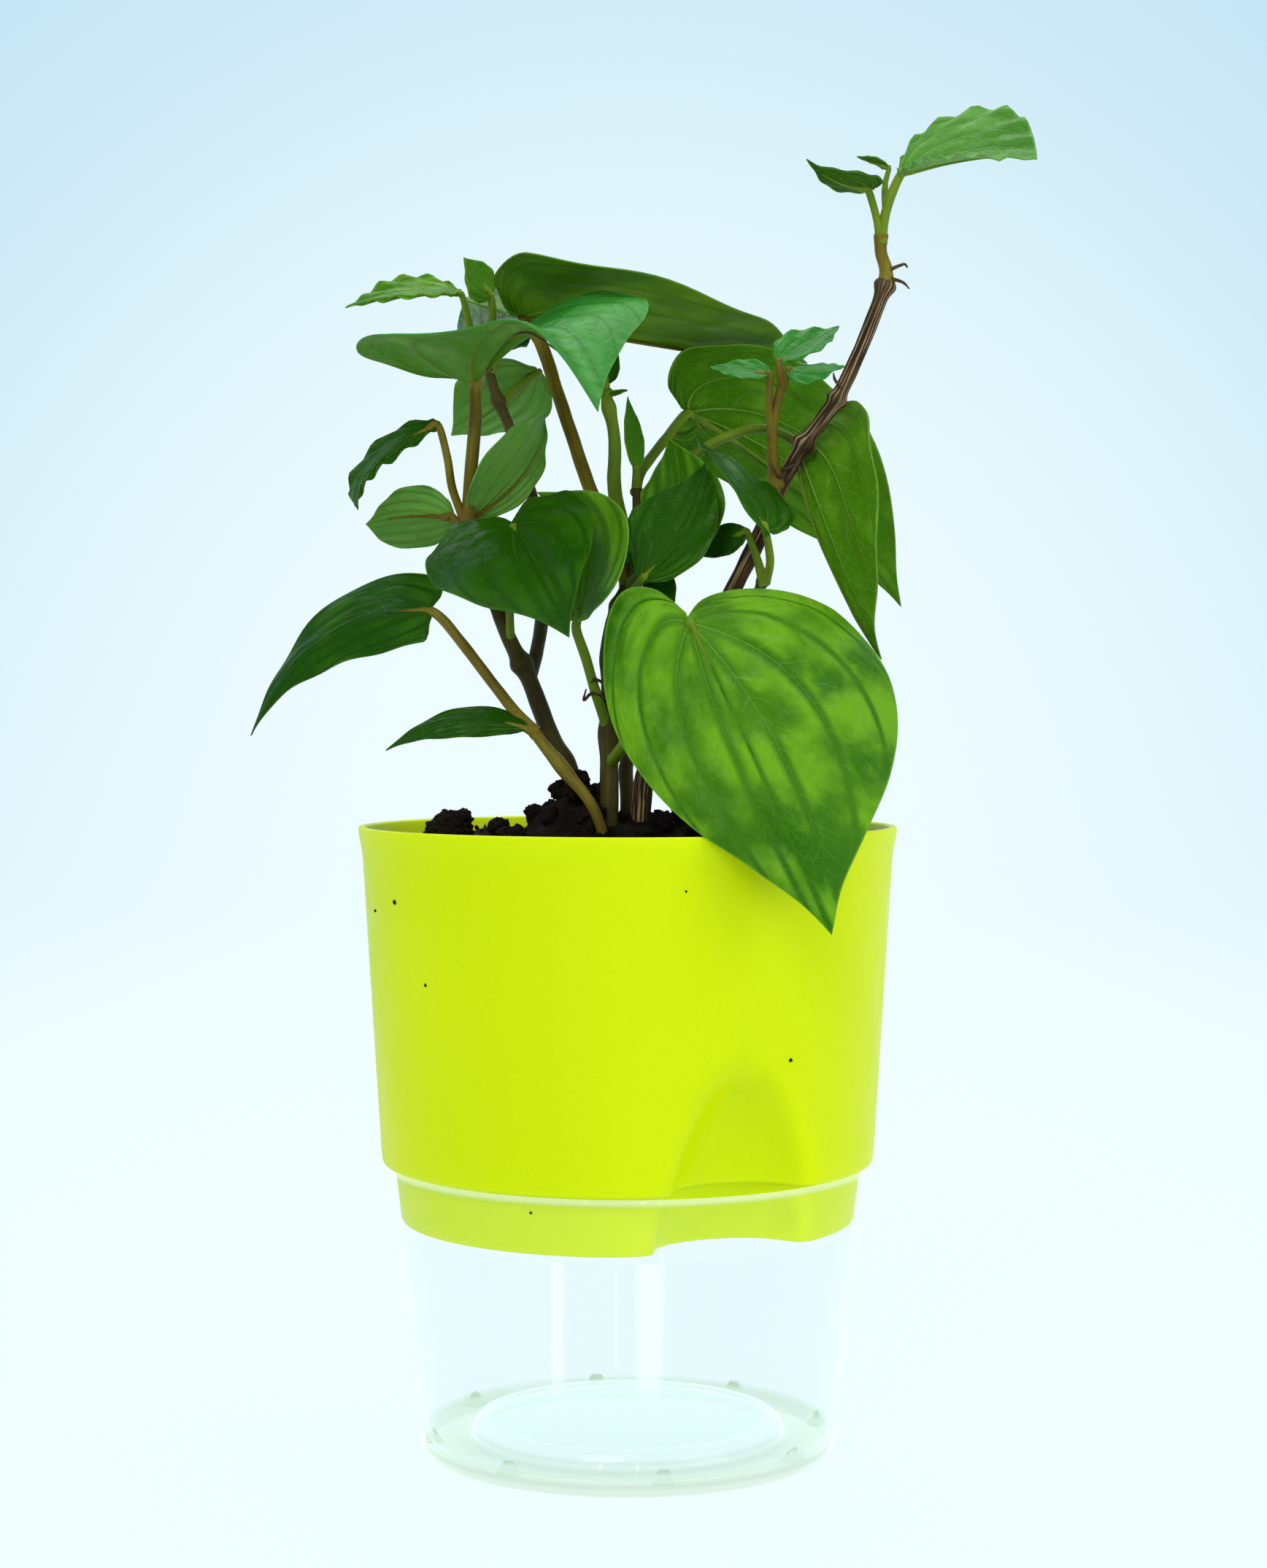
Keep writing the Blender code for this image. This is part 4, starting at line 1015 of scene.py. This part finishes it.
# %% Leaves at the left
leaf("left_drooping_leaf", "dark", rust,
     ((-20, -16, 160), (-25, -13, 165), (-29, -11, 170), (-36, -8, 179), (-41, -6, 185)),
     (1.3, 1.2, 1.1), HEART, (-44, -5, 187), (-86, 14, 159), (-2, -7, 6), (0.22, 0.16),
     lobes=(0.1, 0.1), fold=(-0.1, -0.4), arch=0.08, sweep=-0.14, waves=0.25)
leaf("low_narrow_leaf", "dark", rust, ((-20, -16, 160),), (1.4, 1.2), OVATE,
     (-22, -17, 161), (-53, -12, 156), (-2, -8, 6), (0.14, 0.12), fold=(-0.18, -0.33), arch=0.05,
     sweep=-0.11, waves=0.2)
leaf("pale_left_leaf", "pale", rust, ((-34, 0, 201),), (1.0, 0.8), OVATE, (-39, 3, 208),
     (-58, -4, 206), (-4, 8, 5), (0.56, 0.34), fold=(0.41, 0.54), arch=0.15, sweep=-0.02,
     waves=0.5)
leaf("pale_right_leaf", "pale", rust, ((-36, 2, 206),), (1.0, 0.8), OVATE, (-35, 4, 208),
     (-19, 15, 232), (-7, 7, 2), (0.54, 0.14), fold=(-0.36, -0.32), arch=-0.17, sweep=0.02,
     waves=0.4)
SADDLE_SIDES = (    # halfway point and end of each rib, left side and right side
    (((-34.4, 2.8, 237.7), (-34.8, 3.5, 237.9)), ((-39, 6, 239.5), (-44, 8, 240)),
     ((-44.5, 3, 240.5), (-54.5, 2, 242)), ((-46.5, -6, 243.5), (-59.5, -10, 244.5)),
     ((-41.5, -16, 243.5), (-51, -28, 245)), ((-33, -20, 243.5), (-35, -36, 244.5)),
     ((-27, -24, 245), (-23.5, -42, 246.5)), ((-22.5, -25, 246), (-13.5, -46, 238)),
     ((-21, -24, 246), (-6, -48, 226.5))),
    (((-34.4, 2.8, 237.7), (-34.8, 3.5, 237.9)), ((-29.5, 6, 244), (-26.5, 10, 247.5)),
     ((-24.5, 3, 248.5), (-16.5, 6, 255)), ((-20.5, -4, 250.5), (-6.5, -3, 257)),
     ((-17, -11, 250), (2, -9, 255.5)), ((-15.5, -16, 249), (4.5, -16, 252)),
     ((-15.5, -21, 248), (1, -26, 245)), ((-18, -24, 246.5), (-4, -38, 235.5)),
     ((-21, -24, 246), (-6, -48, 226.5))),
)
leaf("top_saddle_leaf", "teal", rust, ((-36, 2, 206), (-35, 1, 218), (-34, 1, 230)),
     (1.5, 1.4, 1.4), HEART, (-34, 2, 237.5), (-6, -48, 226.5), (0, -2, 10), (0.58, 0.52),
     sides=SADDLE_SIDES, waves=0.2)
leaf("curled_left_leaf", "dark", rust, ((-36, 2, 206), (-39, 0, 214), (-40, -3, 221)),
     (1.0, 0.9, 0.8), OVATE, (-42, -5, 228), (-58, -22, 208), (0, -8, 6), (0.20, 0.08),
     fold=(-0.20, -0.26), arch=-0.1, sweep=-0.22, twist=0.9, waves=0.9, wave_count=6)

# %% Leaves at the top
leaf("toothed_top_leaf", "bright", green, ((-33, 24, 247), (-36, 21, 252), (-37, 19, 256)),
     (0.9, 0.8, 0.7), OVATE, (-38, 18, 260), (-64, 12, 256), (0, -5, 9), (0.30, 0.10),
     fold=(0.15, 0.19), arch=0.05, sweep=-0.01, waves=0.8, wave_count=7)
leaf("round_top_leaf", "bright", green, ((-33, 24, 247), (-31, 18, 254)), (1.0, 0.8), OVATE,
     (-31, 16, 259), (-37, 10, 267), (7, -7, 1), (0.41, 0.45), waves=0.6)
leaf("dark_back_leaf", "shaded", green, ((-32, 26, 243), (-30, 26, 248)), (1.0, 0.8), HEART,
     (-30, 24, 250), (-31, 68, 273), (0, -4, 10), (0.16, 0.20), lobes=(0.3, 0.3),
     fold=(-0.2, -0.2), arch=0.05)
leaf("hanging_back_leaf", "pale", green, ((-29, 28, 235), (-27, 30, 239)), (0.9, 0.8),
     OVATE, (-21, 33, 244), (-42, 42, 230), (-3, 6, 8), (0.55, 0.55), fold=(0.1, 0.1),
     arch=-0.05, waves=0.6)
leaf("long_top_leaf", "olive", rust,
     ((0, -9, 192), (-2, -5, 199), (-6, 0, 208), (-9, 5, 216), (-12, 9, 225), (-16, 14, 237),
      (-20, 19, 249)), (1.6, 1.6, 1.5), HEART, (-24, 21, 255), (43, 50, 248), (0, 2, 10),
     (0.48, 0.25), lobes=(0.5, 1.3), fold=(0.04, 0.66), arch=-0.06, sweep=-0.11)

# %% Leaves at the right
leaf("back_right_leaf", "bright", green, ((2, -6, 213), (3, 2, 218), (9, 14, 227)),
     (1.2, 1.2, 1.1), HEART, (14, 28, 234), (67, 64, 190), (1, 7, 7), (0.32, 0.16),
     lobes=(0.8, -0.5), fold=(0.25, 0.11), arch=0.01, sweep=-0.06)
leaf("right_drooping_leaf", "bright", green,
     ((2, -6, 208), (7, 0, 213), (13, 2, 220), (20, 2, 225), (30, 4, 228)), (1.2, 1.2, 1.1),
     HEART, (38, 5, 225), (56, -8, 176), (9, 4, 2), (0.37, 0.29), lobes=(0.4, 0.6),
     fold=(0.5, 0.6), arch=-0.15, sweep=-0.15)
leaf("twisted_leaf", "dark", green, ((30, -13, 193), (31, -16, 197)), (1.0, 0.8), HEART,
     (30, -20, 204), (15, -4, 225), (6, -3, 7), (0.45, 0.25), lobes=(0.4, 0.4), fold=(0.2, 0.2),
     arch=0.05, sweep=0.1, waves=0.4)
leaf("bitten_leaf", "dark", green, ((30, -13, 192), (28, -12, 199)), (0.9, 0.7), OVATE,
     (26, -12, 204), (13, -8, 199), (-1, -9, 3), (0.25, 0.25), waves=0.6)
leaf("twin_upper_leaf", "teal", rust, ((34, -12, 236),), (0.8, 0.7), OVATE, (33, -11, 241),
     (47, -2, 250), (-3, -7, 6), (0.3, 0.3), fold=(0.3, 0.3), waves=0.8)
leaf("twin_right_leaf", "teal", rust, ((34, -12, 236),), (0.8, 0.7), OVATE, (35, -14, 239),
     (47, -20, 239), (0, -6, 8), (0.35, 0.35), fold=(-0.3, -0.3), waves=0.8)
leaf("twin_left_leaf", "teal", rust, ((32, -8, 224), (31, -11, 231)), (0.8, 0.7), OVATE,
     (31, -14, 238), (18, -10, 240), (0, -6, 8), (0.3, 0.3), fold=(0.2, 0.2), waves=0.6)

# %% Young leaves
leaf("bud_leaf", "dark", green, ((-5, 4, 235),), (0.8, 0.7), OVATE, (-5, 4, 238),
     (-2, 4, 245), (1, -9, 1), (0.25, 0.25), fold=(0.3, 0.3))
leaf("curled_bud_leaf", "bright", green, ((-5, 4, 235),), (0.7, 0.6), OVATE, (-4, 3, 236),
     (0, 0, 236), (0, -6, 8), (0.3, 0.3), fold=(-0.4, -0.4))
leaf("crown_left_leaf", "dark", green, ((56, -4, 268), (55, -5, 273)), (0.9, 0.8), HEART,
     (53, -5, 280), (39, -12, 285), (2, 2, 10), (0.30, 0.34), fold=(0, 0.3), arch=-0.1,
     waves=0.5)
leaf("crown_right_leaf", "pale", green, ((56, -4, 268), (57, -5, 275)), (1.1, 1.0), OVATE,
     (60, -6, 283), (87, -28, 282), (-3, -4, 9), (0.40, 0.43), fold=(0.36, 0.5), sweep=0.16,
     waves=0.8, wave_count=9)
leaf("crown_young_leaf", "teal", green, ((57, -5, 276), (57, -2, 281)), (0.6, 0.5), OVATE,
     (58, -2, 285), (51, 1, 288), (0, 3, 9), (0.25, 0.25), fold=(0.3, 0.3))

# %% [markdown]
# ## Small things
# Short dark roots grow from the nodes of a betel vine, and specks of soil stick to the
# pot where it was filled. They are small, but without them the stems look made.

# %% Rootlets
ROOTLETS = (
    ((34, -6.5, 216), (32.5, -8.5, 217), (31.5, -9, 219)),
    ((35, -7, 218), (37, -9, 218.5), (38.5, -9.5, 217.5)),
    ((47, -6.5, 236), (45.6, -8, 237.5), (45.2, -8.2, 239)),
    ((57.5, -6, 260), (60.5, -7, 259), (62, -7, 257.5)),
    ((58, -6, 262), (60.8, -6.6, 263), (61.6, -6.6, 262.2)),
    ((-4, -16.5, 167), (-7.5, -18, 168.5), (-9.5, -18, 167), (-9, -18, 169.5)),
    ((-4, -16.5, 170), (-6.8, -18.5, 171.5), (-8, -18.5, 170.8)),
    ((1.5, -9, 202), (0, -11, 204), (-1.2, -11, 206.5)),
    ((1, -8.5, 200), (4, -10.5, 203.5), (6, -11, 204.5)),
)
threads = [grown_tube(f"rootlet_{number}", path, (0.45, 0.35, 0.15), (), 0.1, 8, 2.0)
           for number, path in enumerate(ROOTLETS)]
rootlets = joined("rootlets", threads)
present(rootlets, bark)

# %% Specks of soil on the pot
SPECKS = ((-49.5, 124, 0.5), (-54.5, 121.5, 0.35), (-42.5, 107, 0.4), (34, 92, 0.4),
          (-20, 60.5, 0.3), (12, 128, 0.25))    # x, z and size
SKIRT_R = 51.6
specks = []
for number, (x, z, size) in enumerate(SPECKS):
    radius = 54.8 + (z - 65) * 0.0623 if z > 64 else SKIRT_R
    speck = added(bpy.ops.mesh.primitive_ico_sphere_add, subdivisions=3, radius=size * MM)
    for corner in speck.data.vertices:
        corner.co *= 1 + 0.5 * noise.noise(corner.co / MM * 2 + Vector((number, 0, 0)))
    speck.location = at_mm(x, -math.sqrt(radius ** 2 - x ** 2), z)
    specks.append(settle(speck, f"speck_{number}"))
speck_piece = joined("soil_specks", specks)
smooth(speck_piece, 60)
present(speck_piece, earth)

# %% [markdown]
# ## Finish

# %% Finish
deselect_all()
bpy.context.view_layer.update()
